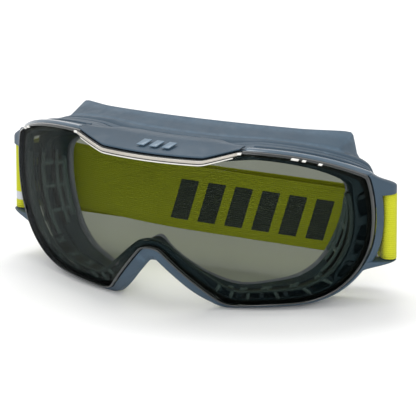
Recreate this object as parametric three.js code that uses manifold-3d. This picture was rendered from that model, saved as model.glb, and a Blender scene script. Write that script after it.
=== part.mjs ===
// Welding goggles: panoramic lens in a hard carrier, soft face seal, side wings and a doubled strap.
// Millimetres, +Z up, the lens faces -Y, the strap lies behind at +Y.
import * as THREE from 'three';
import { mergeVertices } from 'three/addons/utils/BufferGeometryUtils.js';
import Module from 'manifold-3d';

const wasm = await Module();
wasm.setup();

// ---- driving dimensions ----
const GAP = 0.3;
const LENS_RADIUS_SIDE = 100;
const LENS_RADIUS_UP = 74;
const LENS_CREST_Z = 20;
const LENS_START_Y = -2.4;
const LENS_THICKNESS = 2.4;

const BROW_FLAT_HALF = 24;
const BROW_FLAT_Z = 42.4;
const BROW_CORNER_X = 38.5;
const BROW_CORNER_Z = 46.4;

const FACE_START_Y = 42;
const FACE_RADIUS = 108;
const NOSE_DEPTH = 29;
const NOSE_HALF = 30;

const POST_WIDTH = 2.6;
const POST_PITCH = 11;

const STRAP_HEIGHT = 30;
const STRAP_THICKNESS = 1.6;
const STRAP_LOW_Z = -8.6;
const STRAP_BACK_Y = 71.6;
const PIN_X = 89.6;
const PIN_Y = 57.3;
const PIN_RADIUS = 1.5;
const STRAP_DROP = 5;

// ---- surfaces the goggles are built between ----
function lensY(x, z) {
  const side = LENS_RADIUS_SIDE - Math.sqrt(LENS_RADIUS_SIDE ** 2 - x * x);
  const up = LENS_RADIUS_UP - Math.sqrt(LENS_RADIUS_UP ** 2 - (z - LENS_CREST_Z) ** 2);
  return LENS_START_Y + side + up;
}

function faceY(x, z) {
  const low = THREE.MathUtils.smoothstep(-z, -26, 2);
  const nose = NOSE_DEPTH * low * Math.exp(-(Math.abs(x / NOSE_HALF) ** 3));
  return FACE_START_Y + x * x / (2 * FACE_RADIUS) - nose - 2 * low;
}

// ---- rails: half outlines from the middle of the brow round to the nose ----
const RAIL_STEPS = [3, 2, 7, 6, 6, 3, 3, 4, 2];

function halfRail(start, legs) {
  const points = [new THREE.Vector2(...start)];
  let from = points[0];
  legs.forEach((leg, i) => {
    const p = [];
    for (let j = 0; j < leg.length; j += 2) {
      p.push(new THREE.Vector2(leg[j], leg[j + 1]));
    }
    let curve = new THREE.LineCurve(from, p[0]);
    if (p.length === 2) {
      curve = new THREE.QuadraticBezierCurve(from, p[0], p[1]);
    }
    if (p.length === 3) {
      curve = new THREE.CubicBezierCurve(from, p[0], p[1], p[2]);
    }
    points.push(...curve.getPoints(RAIL_STEPS[i]).slice(1));
    from = p[p.length - 1];
  });
  return points;
}

function wholeRail(half) {
  const left = half.slice(1, -1).reverse().map((p) => new THREE.Vector2(-p.x, p.y));
  return [...half, ...left];
}

const lensRail = wholeRail(halfRail([0, BROW_FLAT_Z], [
  [BROW_FLAT_HALF, BROW_FLAT_Z],
  [BROW_CORNER_X, BROW_CORNER_Z],
  [56, 45.5, 72, 42, 84.2, 31.4],
  [86.4, 25, 88, 6, 83.5, -5.5],
  [79, -16.5, 70, -26.5, 55, -27],
  [33, -28],
  [27.5, -28.2, 24.5, -24],
  [5, -1.6],
  [3.4, 0, 0, 0],
]));

const innerRail = wholeRail(halfRail([0, 36], [
  [24, 36],
  [37, 39.3],
  [53, 38.5, 68, 34.5, 76.5, 26],
  [79.5, 20, 80, 6, 76, -3],
  [72, -12.5, 66, -19.2, 53.5, -19.6],
  [36.5, -20.4],
  [32.5, -20.6, 29.8, -17.6],
  [9, 1.6],
  [6.4, 4.2, 0, 4.2],
]));

const sealRail = wholeRail(halfRail([0, 43], [
  [24, 42.8],
  [37, 41.8],
  [52, 40.5, 67, 36.6, 75, 30.6],
  [78, 22, 78.4, 6, 75, -6],
  [71.5, -17, 64, -27, 52, -29.4],
  [36, -30],
  [29, -30, 22.5, -25.6],
  [6.5, -8.6],
  [3.6, -5.4, 0, -5.4],
]));

const openingRail = wholeRail(halfRail([0, 34], [
  [24, 33.8],
  [36, 33],
  [50, 32, 61, 29, 66.5, 22.5],
  [67.5, 14, 65.5, 6, 62.4, -2],
  [60, -9, 55.5, -17.5, 46, -20.9],
  [34.5, -22],
  [29.5, -22, 25, -18.2],
  [8, -2.5],
  [1.6, 4, 0, 4],
]));

const STATIONS = lensRail.length;
const HALF = STATIONS / 2;

// A place in the wall of the goggles: station round the rail, 0..1 inward, 0..1 from the back of
// the lens to the face, and millimetres further back.
function place(station, inward, back, more = 0) {
  const k = ((station % STATIONS) + STATIONS) % STATIONS;
  const a = Math.floor(k);
  const b = (a + 1) % STATIONS;
  const f = k - a;
  if (f > 1e-9) {
    return place(a, inward, back, more).lerp(place(b, inward, back, more), f);
  }
  const front = lensRail[a].clone().lerp(innerRail[a], inward);
  const rear = sealRail[a].clone().lerp(openingRail[a], inward);
  const start = lensY(front.x, front.y) + LENS_THICKNESS;
  const depth = faceY(rear.x, rear.y) - start;
  const s = back + more / depth;
  const xz = front.lerp(rear, THREE.MathUtils.clamp(s, 0, 1));
  return new THREE.Vector3(xz.x, start + s * depth, xz.y);
}

// ---- mesh helpers ----
function signedVolume(points, faces) {
  let sum = 0;
  for (const [a, b, c] of faces) {
    sum += points[a].dot(points[b].clone().cross(points[c]));
  }
  return sum / 6;
}

function toGeometry(points, faces) {
  const outward = signedVolume(points, faces) > 0;
  const index = [];
  for (const [a, b, c] of faces) {
    index.push(a, outward ? b : c, outward ? c : b);
  }
  const geometry = new THREE.BufferGeometry();
  geometry.setAttribute('position', new THREE.BufferAttribute(
    new Float32Array(points.flatMap((p) => [p.x, p.y, p.z])), 3));
  geometry.setIndex(index);
  return geometry;
}

// Rows of matching sections joined into one closed body: a loop, or capped at both ends.
function loft(rows, loop, capOutline) {
  const n = rows[0].length;
  const faces = [];
  const last = loop ? rows.length : rows.length - 1;
  for (let i = 0; i < last; i += 1) {
    const j = (i + 1) % rows.length;
    for (let k = 0; k < n; k += 1) {
      const m = (k + 1) % n;
      faces.push([i * n + k, j * n + k, j * n + m]);
      faces.push([i * n + k, j * n + m, i * n + m]);
    }
  }
  if (!loop) {
    const turn = THREE.ShapeUtils.area(capOutline) > 0;
    const end = (rows.length - 1) * n;
    for (const face of THREE.ShapeUtils.triangulateShape(capOutline, [])) {
      const [a, b, c] = turn ? face : [face[0], face[2], face[1]];
      faces.push([a, b, c]);
      faces.push([end + a, end + c, end + b]);
    }
  }
  return toGeometry(rows.flat(), faces);
}

// A section is a list of [inward, back] pairs; it may be a function of the station.
function sectionAt(section, station) {
  return typeof section === 'function' ? section(station) : section;
}

function ringLoft(section) {
  const rows = [];
  for (let k = 0; k < STATIONS; k += 1) {
    rows.push(sectionAt(section, k).map((p) => place(k, ...p)));
  }
  return loft(rows, true);
}

function arcLoft(from, to, section) {
  const rows = [];
  for (let k = from; k <= to + 1e-9; k += 1) {
    rows.push(sectionAt(section, k).map((p) => place(k, ...p)));
  }
  const outline = sectionAt(section, from).map(([w, s, more = 0]) => new THREE.Vector2(w, s + more / 20));
  return loft(rows, false, outline);
}

function toManifold(geometry) {
  const plain = geometry.clone();
  plain.deleteAttribute('normal');
  plain.deleteAttribute('uv');
  const merged = mergeVertices(plain, 1e-4);
  return new wasm.Manifold(new wasm.Mesh({
    numProp: 3,
    vertProperties: Float32Array.from(merged.attributes.position.array),
    triVerts: Uint32Array.from(merged.index.array),
  }));
}

function fromManifold(manifold) {
  const mesh = manifold.getMesh();
  const geometry = new THREE.BufferGeometry();
  geometry.setAttribute('position', new THREE.BufferAttribute(Float32Array.from(mesh.vertProperties), 3));
  geometry.setIndex(Array.from(mesh.triVerts));
  return geometry;
}

function joinAll(geometries) {
  return fromManifold(geometries.map(toManifold).reduce((a, b) => a.add(b)));
}

function cutAll(geometry, tools) {
  return fromManifold(tools.map(toManifold).reduce((a, b) => a.subtract(b), toManifold(geometry)));
}

const SQUARE_CAP = [[0, 0], [1, 0], [1, 1], [0, 1]];

function outline(pairs) {
  return pairs.map(([x, y]) => new THREE.Vector2(x, y));
}

function box(x0, x1, y0, y1, z0, z1) {
  const geometry = new THREE.BoxGeometry(x1 - x0, y1 - y0, z1 - z0);
  geometry.translate((x0 + x1) / 2, (y0 + y1) / 2, (z0 + z1) / 2);
  return geometry;
}

// Outline in plan (x, y), raised between two heights.
function raisePlan(outline, z0, z1) {
  const geometry = new THREE.ExtrudeGeometry(new THREE.Shape(outline), {
    depth: z1 - z0, bevelEnabled: false, curveSegments: 8,
  });
  geometry.translate(0, 0, z0);
  return geometry;
}

function mirrored(geometry) {
  const copy = geometry.index ? geometry.toNonIndexed() : geometry.clone();
  const p = copy.attributes.position;
  const flat = [];
  for (let i = 0; i < p.count; i += 3) {
    for (const j of [i, i + 2, i + 1]) {
      flat.push(-p.getX(j), p.getY(j), p.getZ(j));
    }
  }
  const geometryOut = new THREE.BufferGeometry();
  geometryOut.setAttribute('position', new THREE.BufferAttribute(new Float32Array(flat), 3));
  return mergeVertices(geometryOut, 1e-4);
}

// ---- lens ----
function makeLens() {
  const centre = new THREE.Vector2(0, 22);
  const fractions = [0.2, 0.4, 0.6, 0.8, 0.94, 1];
  const points = [];
  const faces = [];
  for (const depth of [0, LENS_THICKNESS]) {
    points.push(new THREE.Vector3(centre.x, lensY(centre.x, centre.y) + depth, centre.y));
    for (const f of fractions) {
      for (const p of lensRail) {
        const q = lensPoint(centre, p, f);
        points.push(new THREE.Vector3(q.x, lensY(q.x, q.y) + depth, q.y));
      }
    }
  }
  const side = 1 + fractions.length * STATIONS;
  for (const [base, turn] of [[0, false], [side, true]]) {
    const add = (a, b, c) => faces.push(turn ? [a, c, b] : [a, b, c]);
    for (let k = 0; k < STATIONS; k += 1) {
      const m = (k + 1) % STATIONS;
      add(base, base + 1 + k, base + 1 + m);
      for (let r = 0; r < fractions.length - 1; r += 1) {
        const a = base + 1 + r * STATIONS;
        add(a + k, a + STATIONS + k, a + STATIONS + m);
        add(a + k, a + STATIONS + m, a + m);
      }
    }
  }
  const rim = 1 + (fractions.length - 1) * STATIONS;
  for (let k = 0; k < STATIONS; k += 1) {
    const m = (k + 1) % STATIONS;
    faces.push([rim + k, side + rim + k, side + rim + m]);
    faces.push([rim + k, side + rim + m, rim + m]);
  }
  return toGeometry(points, faces);
}

// Spokes of the lens grid leave a short spine, so the grid stays even over the wide lens.
function lensPoint(centre, p, f) {
  const root = new THREE.Vector2(centre.x + p.x * 0.55, centre.y - 6 * (Math.abs(p.x) / 87) ** 2);
  const hub = centre.clone().lerp(root, Math.min(1, f * 1.6));
  return hub.lerp(p, f ** 1.3);
}

// ---- hard carrier ----
const FRONT_FACE = [0, 1.4];
const FRONT_BACK = [0.08, 2.6];
const REAR_FRONT = [0.42, 0.4];
const REAR_BACK = [0.54, 0.4];

function band(w0, w1, near, far) {
  return [[w0, ...near], [w1, ...near], [w1, ...far], [w0, ...far]];
}

function post(station, w0, w1, near, far, width) {
  const step = place(station, w0, ...near).distanceTo(place(station + 0.05, w0, ...near));
  const half = 0.05 * width / 2 / step;
  const section = band(w0, w1, near, far);
  const rows = [station - half, station + half].map((k) => section.map((p) => place(k, ...p)));
  return loft(rows, false, section.map(([w, s, more]) => new THREE.Vector2(w, s + more / 20)));
}

function stationsEvery(from, to, pitch) {
  const found = [];
  let walked = pitch / 2;
  for (let k = from; k < to; k += 0.02) {
    walked += place(k, 0.3, 0.3).distanceTo(place(k + 0.02, 0.3, 0.3));
    if (walked >= pitch) {
      found.push(k + 0.02);
      walked -= pitch;
    }
  }
  return found;
}

const CATCH_STATION = 15.6;

// The front ring is slim over the brow and reaches further in round the sides and below.
function frontRingReach(station) {
  const fromBrow = Math.min(station, STATIONS - station);
  return 0.4 + 0.4 * THREE.MathUtils.smoothstep(fromBrow, 10, 14);
}

function makeCarrier() {
  const front = ringLoft((k) => band(0, frontRingReach(k), FRONT_FACE, FRONT_BACK));
  const rear = ringLoft(band(0, 0.8, REAR_FRONT, REAR_BACK));
  const roof = arcLoft(-12, 12, band(0.03, 0.3, [0.06, 2], [0.47, 0.6]));
  const posts = stationsEvery(12.6, HALF - 2.4, POST_PITCH)
    .filter((k) => Math.abs(k - CATCH_STATION) > 1)
    .flatMap((k) => [k, STATIONS - k])
    .concat([HALF])
    .map((k) => post(k, 0.1, 0.72, [0.06, 2], [0.46, 0.6], POST_WIDTH));
  return joinAll([front, rear, roof, ...posts]);
}

function makeGasket() {
  return ringLoft(band(0.06, 0.5, [0, GAP + 0.15], [0, 1.1]));
}

// ---- vents between the two rings of the carrier ----
const VENT_FRONT = [0.08, 2.9];
const VENT_BACK = [0.42, 0.1];

function makeVent(from, to, inward) {
  return arcLoft(from, to, band(inward, inward + 0.1, VENT_FRONT, VENT_BACK));
}

function makeSideVent() {
  const panel = arcLoft(13, 21, band(0.8, 0.92, VENT_FRONT, VENT_BACK));
  const slots = [[13.6, 15], [16.2, 18], [18.8, 20.4]].map(([a, b]) => {
    const rows = [a, b].map((k) => band(0.7, 1.05, [0.19, 1.4], [0.29, 1]).map((p) => place(k, ...p)));
    return loft(rows, false, outline(SQUARE_CAP));
  });
  return cutAll(panel, slots);
}

function makeCatch() {
  return post(CATCH_STATION, 0.12, 0.62, VENT_FRONT, VENT_BACK, 5);
}

// ---- lower band and nose bridge ----
const BAND_START = 19;

const BAND_GAP = 0.38;
const BAND_DEPTH = 1.3;
const NOSE_BAND_DEPTH = 4;

// The band's inner and outer limits as shares of the wall's width at that station.
function lowerBandLimits(station) {
  const away = Math.abs(station - HALF);
  const nose = THREE.MathUtils.smoothstep(10 - away, 0, 6);
  const width = place(station, 0, 0).distanceTo(place(station, 1, 0));
  return [-BAND_GAP / width, -(BAND_GAP + BAND_DEPTH + NOSE_BAND_DEPTH * nose) / width];
}

function lowerBandSection(station) {
  const [near, out] = lowerBandLimits(station);
  return [
    [near, 0, -1], [near, 0, 0], [near, 0.22, 1.4],
    [out, 0.2, 1.2], [out, 0, 0.4], [out * 0.8, 0, -1],
  ];
}

// The room the lower band takes up, with clearance round it, for the wings to stop short of.
function lowerBandRoom(station) {
  const out = lowerBandLimits(station)[1] - 0.2;
  return [[0.1, 0, -2], [0.1, 0.3, 3], [out, 0.3, 3], [out, 0, -2]];
}

function makeLowerBand() {
  return trimFlat(arcLoft(BAND_START, STATIONS - BAND_START, lowerBandSection));
}

// ---- brow cover and its plain bars ----
const BROW_LIFT = -0.09;

const BROW_DEPTH = [0.54, 0.54, 0.54, 0.5, 0.34, 0.14];

function browSection(k) {
  const reach = BROW_DEPTH[Math.abs(k)];
  const low = place(k, BROW_LIFT, 0, -2.3);
  const backLow = place(k, BROW_LIFT, reach);
  const ridge = place(k, BROW_LIFT, reach * 0.45);
  ridge.z = BROW_CORNER_Z + 0.9;
  const backHigh = backLow.clone();
  backHigh.z = Math.max(backLow.z + 1, 45.6);
  const lip = low.clone();
  lip.z += 0.8;
  return [low, place(k, BROW_LIFT, 0), backLow, backHigh, ridge, lip];
}

function makeBrowCover() {
  const rows = [];
  for (let k = -5; k <= 5; k += 1) {
    rows.push(browSection(k));
  }
  return loft(rows, false, outline([[0, 0], [1, 0], [4, 0], [4, 2], [2, 3], [0, 0.5]]));
}

const BAR_PITCH = 6;
const BAR_WIDTH = 3.6;
const BAR_SLANT = 2;
const BAR_HEIGHT = 0.6;

// A slanted bar lies on the front slope of the brow cover.
function makeBrowBar(x) {
  const [, , , , ridge, lip] = browSection(0);
  const up = new THREE.Vector3(0, lip.z - ridge.z, ridge.y - lip.y).normalize();
  const rows = [x - BAR_WIDTH / 2, x + BAR_WIDTH / 2].map((side) => SQUARE_CAP.map(([along, above]) => {
    const q = lip.clone().lerp(ridge, 0.3 + 0.4 * along);
    q.addScaledVector(up, GAP + BAR_HEIGHT * above);
    return q.setX(side + BAR_SLANT * along);
  }));
  return loft(rows, false, outline(SQUARE_CAP));
}

// ---- soft parts ----
function makeSeal() {
  const front = [0.54, 1];
  return trimFlat(ringLoft([
    [0, ...front], [0.85, ...front], [0.95, 0.88, 0], [0, 0.88, 0],
    [0, 0.76, 0.2], [0.1, 0.74, 0.2], [0.1, 0.7, 0.2], [0, 0.68, 0.2],
  ]));
}

function makeCushion() {
  return trimFlat(ringLoft([
    [0, 0.88, 0.9], [0.95, 0.88, 0.9], [1, 0.95, 0.6], [0.9, 1, 0.6], [0.12, 1, 0.6], [0, 0.95, 0.6],
  ]));
}

// The flap stands on the top of the seal and rests against the forehead.
const FLAP_END = 13;
const FLAP_TOP_Z = 47.2;
const FLAP_TOP_Y = 47.4;
const FLAP_RADIUS = 97;
const FLAP_HALF = 67;
const FLAP_END_DROP = 4.4;

function makeFlap() {
  const rows = [];
  for (let k = -FLAP_END; k <= FLAP_END; k += 1) {
    const size = [1, 0.86, 0.2][Math.max(0, Math.abs(k) - 11)];
    const root = place(k, -0.06, 0.84);
    const x = root.x * 0.9;
    const topY = FLAP_TOP_Y + x * x / (2 * FLAP_RADIUS);
    const top = new THREE.Vector3(x, topY, FLAP_TOP_Z - FLAP_END_DROP * (x / FLAP_HALF) ** 2);
    top.lerp(root.clone().setZ(root.z + 1.5), 1 - size);
    const middle = root.clone().lerp(top, 0.5);
    middle.y -= 0.8 * size;
    const under = middle.clone().add(new THREE.Vector3(0, 1, -1.1 * size));
    const edge = top.clone().add(new THREE.Vector3(0, 0.9, -0.6 * size));
    rows.push([root, middle, top, edge, under, place(k, -0.06, 0.9)]);
  }
  return loft(rows, false, outline([[0, 0], [0.5, 1], [0, 2], [1, 2], [1.5, 1], [1, 0]]));
}

const REST_Z = -29.4;

function trimFlat(geometry) {
  return cutAll(geometry, [box(-120, 120, -50, 120, REST_Z - 20, REST_Z)]);
}

// ---- side wings: a fairing from the lens edge out to two arms that hold the strap pin ----
// ARM is in plan; FLUSH and PLATE are steps from the lens edge. A level is [z, how far it reaches out].
const ARM = [[89.2, 51.2], [92.2, 53.4], [93.2, 57], [91.4, 60.4], [84.4, 58.8]];
const FLUSH = [[0.7, -0.9], [1, -0.4], [1, 0.4], [0.8, 1.2]];
const PLATE = [[1.9, 0.6], [2.1, 1.2], [2.1, 1.9], [1.7, 2.5]];
const WING_LEVELS = [
  [31.5, 0], [29.6, 0.12], [27.6, 0.42], [26, 0.78], [24.6, 1], ['top', 1],
  ['low', 1], [-10.8, 1], [-12.4, 0.72], [-14.6, 0.34], [-17, 0.1], [-19, 0],
];

function stationAtHeight(z) {
  let k = 8;
  while (place(k, 0, 0).z > z) {
    k += 0.02;
  }
  return k;
}

function wingRow(z, reach, plate) {
  const k = stationAtHeight(z);
  const front = place(k, -0.06, 0, -1.5);
  const edge = place(k, -0.06, 0);
  const rear = place(k, -0.06, 0.3);
  const beside = ([x, y]) => new THREE.Vector3(edge.x + x, edge.y + y, z);
  const tail = rear.clone().setX(rear.x + 0.4);
  const flush = [...FLUSH.map(beside), tail];
  const out = plate ? [...PLATE.map(beside), tail] : ARM.map(([x, y]) => new THREE.Vector3(x, y, z));
  const row = flush.map((p, i) => p.clone().lerp(out[i], reach));
  return [front, ...row, rear].map((p) => p.clone().setZ(z));
}

function makeWing() {
  const top = STRAP_LOW_Z + STRAP_HEIGHT + GAP;
  const low = STRAP_LOW_Z - GAP;
  const rows = [];
  for (const [level, reach] of WING_LEVELS) {
    if (level === 'low') {
      for (const z of [top - 0.05, 14, 7, 0, low + 0.05]) {
        rows.push(wingRow(z, 1, true));
      }
    }
    const z = level === 'top' ? top : level === 'low' ? low : level;
    rows.push(wingRow(z, reach, false));
  }
  const wall = arcLoft(8, 26, [
    [-0.04, 0, -16], [1.2, 0, -16], [1.2, 0, 0], [1.2, 1, 0],
    [1.2, 1, 6], [-0.04, 1, 6], [-0.04, 1, 0], [-0.04, 0, 0],
  ]);
  const hole = new THREE.CylinderGeometry(PIN_RADIUS + GAP, PIN_RADIUS + GAP, STRAP_HEIGHT + 3, 16);
  hole.rotateX(Math.PI / 2);
  hole.translate(PIN_X, PIN_Y, STRAP_LOW_Z + STRAP_HEIGHT / 2);
  const lowEdge = arcLoft(BAND_START - 1, 30, lowerBandRoom);
  const tools = [wall, lowEdge, hole].map(toManifold);
  const whole = toManifold(loft(rows, false, rows[5].map((p) => new THREE.Vector2(p.x, p.y))));
  const pieces = tools.reduce((a, b) => a.subtract(b), whole).decompose();
  pieces.sort((a, b) => b.volume() - a.volume());
  return fromManifold(pieces[0]);
}

function makePin() {
  const pin = new THREE.CylinderGeometry(PIN_RADIUS, PIN_RADIUS, STRAP_HEIGHT + 2.4, 16);
  pin.rotateX(Math.PI / 2);
  pin.translate(PIN_X, PIN_Y, STRAP_LOW_Z + STRAP_HEIGHT / 2);
  return pin;
}

// ---- strap ----
const ADJUSTER_WALL = 1.4;
const LAYER_PITCH = STRAP_THICKNESS + ADJUSTER_WALL + 2 * GAP;
const FRONT_LAYER_Y = STRAP_BACK_Y + STRAP_THICKNESS / 2;
const REAR_LAYER_Y = FRONT_LAYER_Y + LAYER_PITCH;

function makeStrapLoop() {
  const radius = PIN_RADIUS + GAP + STRAP_THICKNESS / 2;
  const along = new THREE.Vector2(-0.62, 0.785).normalize();
  const out = new THREE.Vector2(along.y, -along.x);
  const pin = new THREE.Vector2(PIN_X, PIN_Y);
  const path = [];
  const turn = Math.atan2(out.y, out.x);
  for (let i = 0; i <= 10; i += 1) {
    const a = turn - Math.PI + Math.PI * i / 10;
    path.push(new THREE.Vector2(Math.cos(a), Math.sin(a)).multiplyScalar(radius).add(pin));
  }
  const inner = new THREE.Vector2(80.6, FRONT_LAYER_Y - 0.1);
  const outer = new THREE.Vector2(82.2, REAR_LAYER_Y + 0.4);
  const whole = [inner, path[0].clone().addScaledVector(along, 8), ...path,
    path[10].clone().addScaledVector(along, 9), outer];
  return raisePlan(offsetBoth(whole, STRAP_THICKNESS), STRAP_LOW_Z, STRAP_LOW_Z + STRAP_HEIGHT);
}

function offsetBoth(path, thickness) {
  const left = [];
  const right = [];
  path.forEach((p, i) => {
    const a = path[Math.max(i - 1, 0)];
    const b = path[Math.min(i + 1, path.length - 1)];
    const n = new THREE.Vector2(a.y - b.y, b.x - a.x).normalize();
    left.push(p.clone().addScaledVector(n, thickness / 2));
    right.push(p.clone().addScaledVector(n, -thickness / 2));
  });
  return [...left, ...right.reverse()];
}

function makeStrapLayer(y, half) {
  const t = STRAP_THICKNESS / 2;
  const low = STRAP_LOW_Z - STRAP_DROP;
  return box(-half, half, y - t, y + t, low, low + STRAP_HEIGHT);
}

const ADJUSTER_X = 70.5;
const ADJUSTER_LENGTH = 12;

// The adjuster is a frame round the rear layer only, with a bar across its back.
function makeAdjuster() {
  const y0 = REAR_LAYER_Y - STRAP_THICKNESS / 2 - GAP;
  const y1 = REAR_LAYER_Y + STRAP_THICKNESS / 2 + GAP;
  const z0 = STRAP_LOW_Z - STRAP_DROP - GAP;
  const z1 = z0 + STRAP_HEIGHT + 2 * GAP;
  const x0 = ADJUSTER_X - ADJUSTER_LENGTH / 2;
  const x1 = ADJUSTER_X + ADJUSTER_LENGTH / 2;
  const body = box(x0, x1, y0 - ADJUSTER_WALL, y1 + ADJUSTER_WALL, z0 - 2.2, z1 + 2.2);
  const windows = [
    box(x0 + 2.2, ADJUSTER_X - 1.2, y1 - 0.2, y1 + 3, z0 + 1, z1 - 1),
    box(ADJUSTER_X + 1.2, x1 - 2.2, y1 - 0.2, y1 + 3, z0 + 1, z1 - 1),
    box(x0 + 2.2, x1 - 2.2, y0 - 3, y0 + 0.2, z0 + 1, z1 - 1),
  ];
  return cutAll(body, [box(x0 - 1, x1 + 1, y0, y1, z0, z1), ...windows]);
}

// ---- materials ----
function material(color, options = {}) {
  return new THREE.MeshStandardMaterial({ color, roughness: 0.55, metalness: 0, ...options });
}

const FRAME = 0x46545f;
const INNER_FRAME = 0x3a464e;
const SOFT = 0x4d5c68;
const PADDING = 0xb9bccb;
const LIME = 0xc3cc2e;
const TINT = 0x5f635c;
const MARK = 0x6f7f8c;
const DARK = 0x2d3338;
const MESH = 0x24292c;
const RUBBER = 0x1c2022;

// ---- assembly ----
const goggles = new THREE.Group();
goggles.name = 'welding_goggles';

function addPart(name, geometry, color, options) {
  const mesh = new THREE.Mesh(geometry, material(color, options));
  mesh.name = name;
  goggles.add(mesh);
}

function addPair(name, geometry, color, options) {
  addPart(`${name}_right`, geometry, color, options);
  addPart(`${name}_left`, mirrored(geometry), color, options);
}

addPart('lens', makeLens(), TINT, { roughness: 0.1, transparent: true, opacity: 0.6 });
addPart('lens_gasket', makeGasket(), RUBBER);
addPart('carrier', makeCarrier(), FRAME);
addPart('brow_cover', makeBrowCover(), FRAME);
[-1, 0, 1].forEach((i) => addPart(`brow_bar_${i + 2}`, makeBrowBar(i * BAR_PITCH), MARK));
addPart('lower_band', makeLowerBand(), FRAME);
addPart('face_seal', makeSeal(), SOFT, { roughness: 0.8 });
addPart('forehead_flap', makeFlap(), SOFT, { roughness: 0.8 });
addPart('face_cushion', makeCushion(), PADDING, { roughness: 0.9 });
addPart('vent_top', makeVent(-11.6, 11.6, 0.4), MESH, { roughness: 0.9 });
addPair('vent_bottom', makeVent(21.4, 30.4, 0.8), MESH, { roughness: 0.9 });
addPair('side_vent', makeSideVent(), INNER_FRAME);
addPair('lens_catch', makeCatch(), INNER_FRAME);
addPair('wing', makeWing(), FRAME);
addPair('strap_pin', makePin(), DARK);
addPair('strap_loop', makeStrapLoop(), LIME, { roughness: 0.95 });
addPart('strap_front', makeStrapLayer(FRONT_LAYER_Y, 79.4), LIME, { roughness: 0.95 });
addPart('strap_rear', makeStrapLayer(REAR_LAYER_Y, 79.4), LIME, { roughness: 0.95 });
addPart('adjuster', makeAdjuster(), DARK);

// The origin is the middle of the base of the whole assembly.
const bounds = new THREE.Box3().setFromObject(goggles);
const middle = bounds.getCenter(new THREE.Vector3());
goggles.children.forEach((mesh) => mesh.geometry.translate(-middle.x, -middle.y, -bounds.min.z));

export default goggles;
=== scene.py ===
"""Welding goggles: the looks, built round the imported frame. Lengths are millimetres until a mesh is made."""

import math

import bmesh
import bpy
import numpy as np
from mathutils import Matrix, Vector


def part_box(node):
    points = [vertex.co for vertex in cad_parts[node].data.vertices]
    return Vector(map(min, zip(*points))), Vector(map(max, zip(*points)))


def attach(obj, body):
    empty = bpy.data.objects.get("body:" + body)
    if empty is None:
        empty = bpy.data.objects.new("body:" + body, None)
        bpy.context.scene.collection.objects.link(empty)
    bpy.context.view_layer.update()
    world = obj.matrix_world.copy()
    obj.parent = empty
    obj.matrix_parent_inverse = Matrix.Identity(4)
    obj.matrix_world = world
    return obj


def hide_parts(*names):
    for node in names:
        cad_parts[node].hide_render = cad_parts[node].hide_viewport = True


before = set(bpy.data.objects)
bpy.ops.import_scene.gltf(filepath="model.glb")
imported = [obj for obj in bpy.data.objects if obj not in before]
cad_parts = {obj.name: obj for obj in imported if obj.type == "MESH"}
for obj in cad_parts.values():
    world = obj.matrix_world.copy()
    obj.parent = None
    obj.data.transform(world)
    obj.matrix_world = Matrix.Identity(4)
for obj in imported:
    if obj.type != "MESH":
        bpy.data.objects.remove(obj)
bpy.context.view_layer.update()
MM = 0.001
BODY = "goggles"
LENS_BODY = "lens_part"
ADJUSTER_BODY = "adjuster_part"

# ---- the two surfaces that the goggles are built between ----
LENS_RADIUS_SIDE = 100.0
LENS_RADIUS_UP = 74.0
LENS_CREST_Z = 20.0
LENS_START_Y = -2.4
LENS_THICKNESS = 2.4
FACE_START_Y = 42.0
FACE_RADIUS = 108.0
NOSE_DEPTH = 29.0
NOSE_HALF = 30.0
LENS_TOP_Z = 46.4
REST_Z = -29.4

# Where the maker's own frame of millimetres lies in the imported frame.
LENS_LOW, LENS_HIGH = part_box("lens")
SHIFT = np.array([0.0, LENS_LOW[1] / MM - LENS_START_Y, LENS_HIGH[2] / MM - LENS_TOP_Z])


def smooth_step(x, low, high):
    """An S from 0 at low to 1 at high."""
    t = np.clip((np.asarray(x, float) - low) / (high - low), 0.0, 1.0)
    return t * t * (3.0 - 2.0 * t)


def lens_y(x, z):
    """How far back the front of the lens lies: it is bent across and up."""
    side = LENS_RADIUS_SIDE - np.sqrt(LENS_RADIUS_SIDE**2 - x * x)
    up = LENS_RADIUS_UP - np.sqrt(LENS_RADIUS_UP**2 - (z - LENS_CREST_Z) ** 2)
    return LENS_START_Y + side + up


def face_y(x, z):
    """How far back the cushion ends: it wraps round the face and comes forward at the nose."""
    low = smooth_step(-z, -26.0, 2.0)
    nose = NOSE_DEPTH * low * np.exp(-(np.abs(x / NOSE_HALF) ** 3))
    return FACE_START_Y + x * x / (2.0 * FACE_RADIUS) - nose - 2.0 * low


# ---- rails: closed outlines, each drawn as the right half from the brow round to the nose ----
FINE = 6
RAIL_STEPS = (3, 2, 7, 6, 6, 3, 3, 4, 2)


def bezier(control, t):
    """Points on a curve with any number of control points."""
    points = [np.outer(np.ones_like(t), p) for p in control]
    while len(points) > 1:
        points = [a + (b - a) * t[:, None] for a, b in zip(points, points[1:])]
    return points[0]


def round_corners(loop, spread):
    """A closed path with each point averaged with its neighbours."""
    reach = int(4 * spread) + 2
    weights = np.exp(-0.5 * (np.arange(-reach, reach + 1) / spread) ** 2)
    weights /= weights.sum()
    return sum(w * np.roll(loop, k, axis=0) for k, w in zip(range(-reach, reach + 1), weights))


def rail(start, legs, spread=1.0):
    """A closed outline from the legs of its right half, mirrored and softened."""
    half = [np.array(start, float)]
    for leg, steps in zip(legs, RAIL_STEPS):
        control = [half[-1]] + [np.array(p, float) for p in zip(leg[0::2], leg[1::2])]
        half.extend(bezier(control, np.linspace(0.0, 1.0, steps * FINE + 1)[1:]))
    half = np.array(half)
    loop = np.vstack([half, half[1:-1][::-1] * (-1.0, 1.0)])
    return round_corners(loop, spread)


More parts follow.
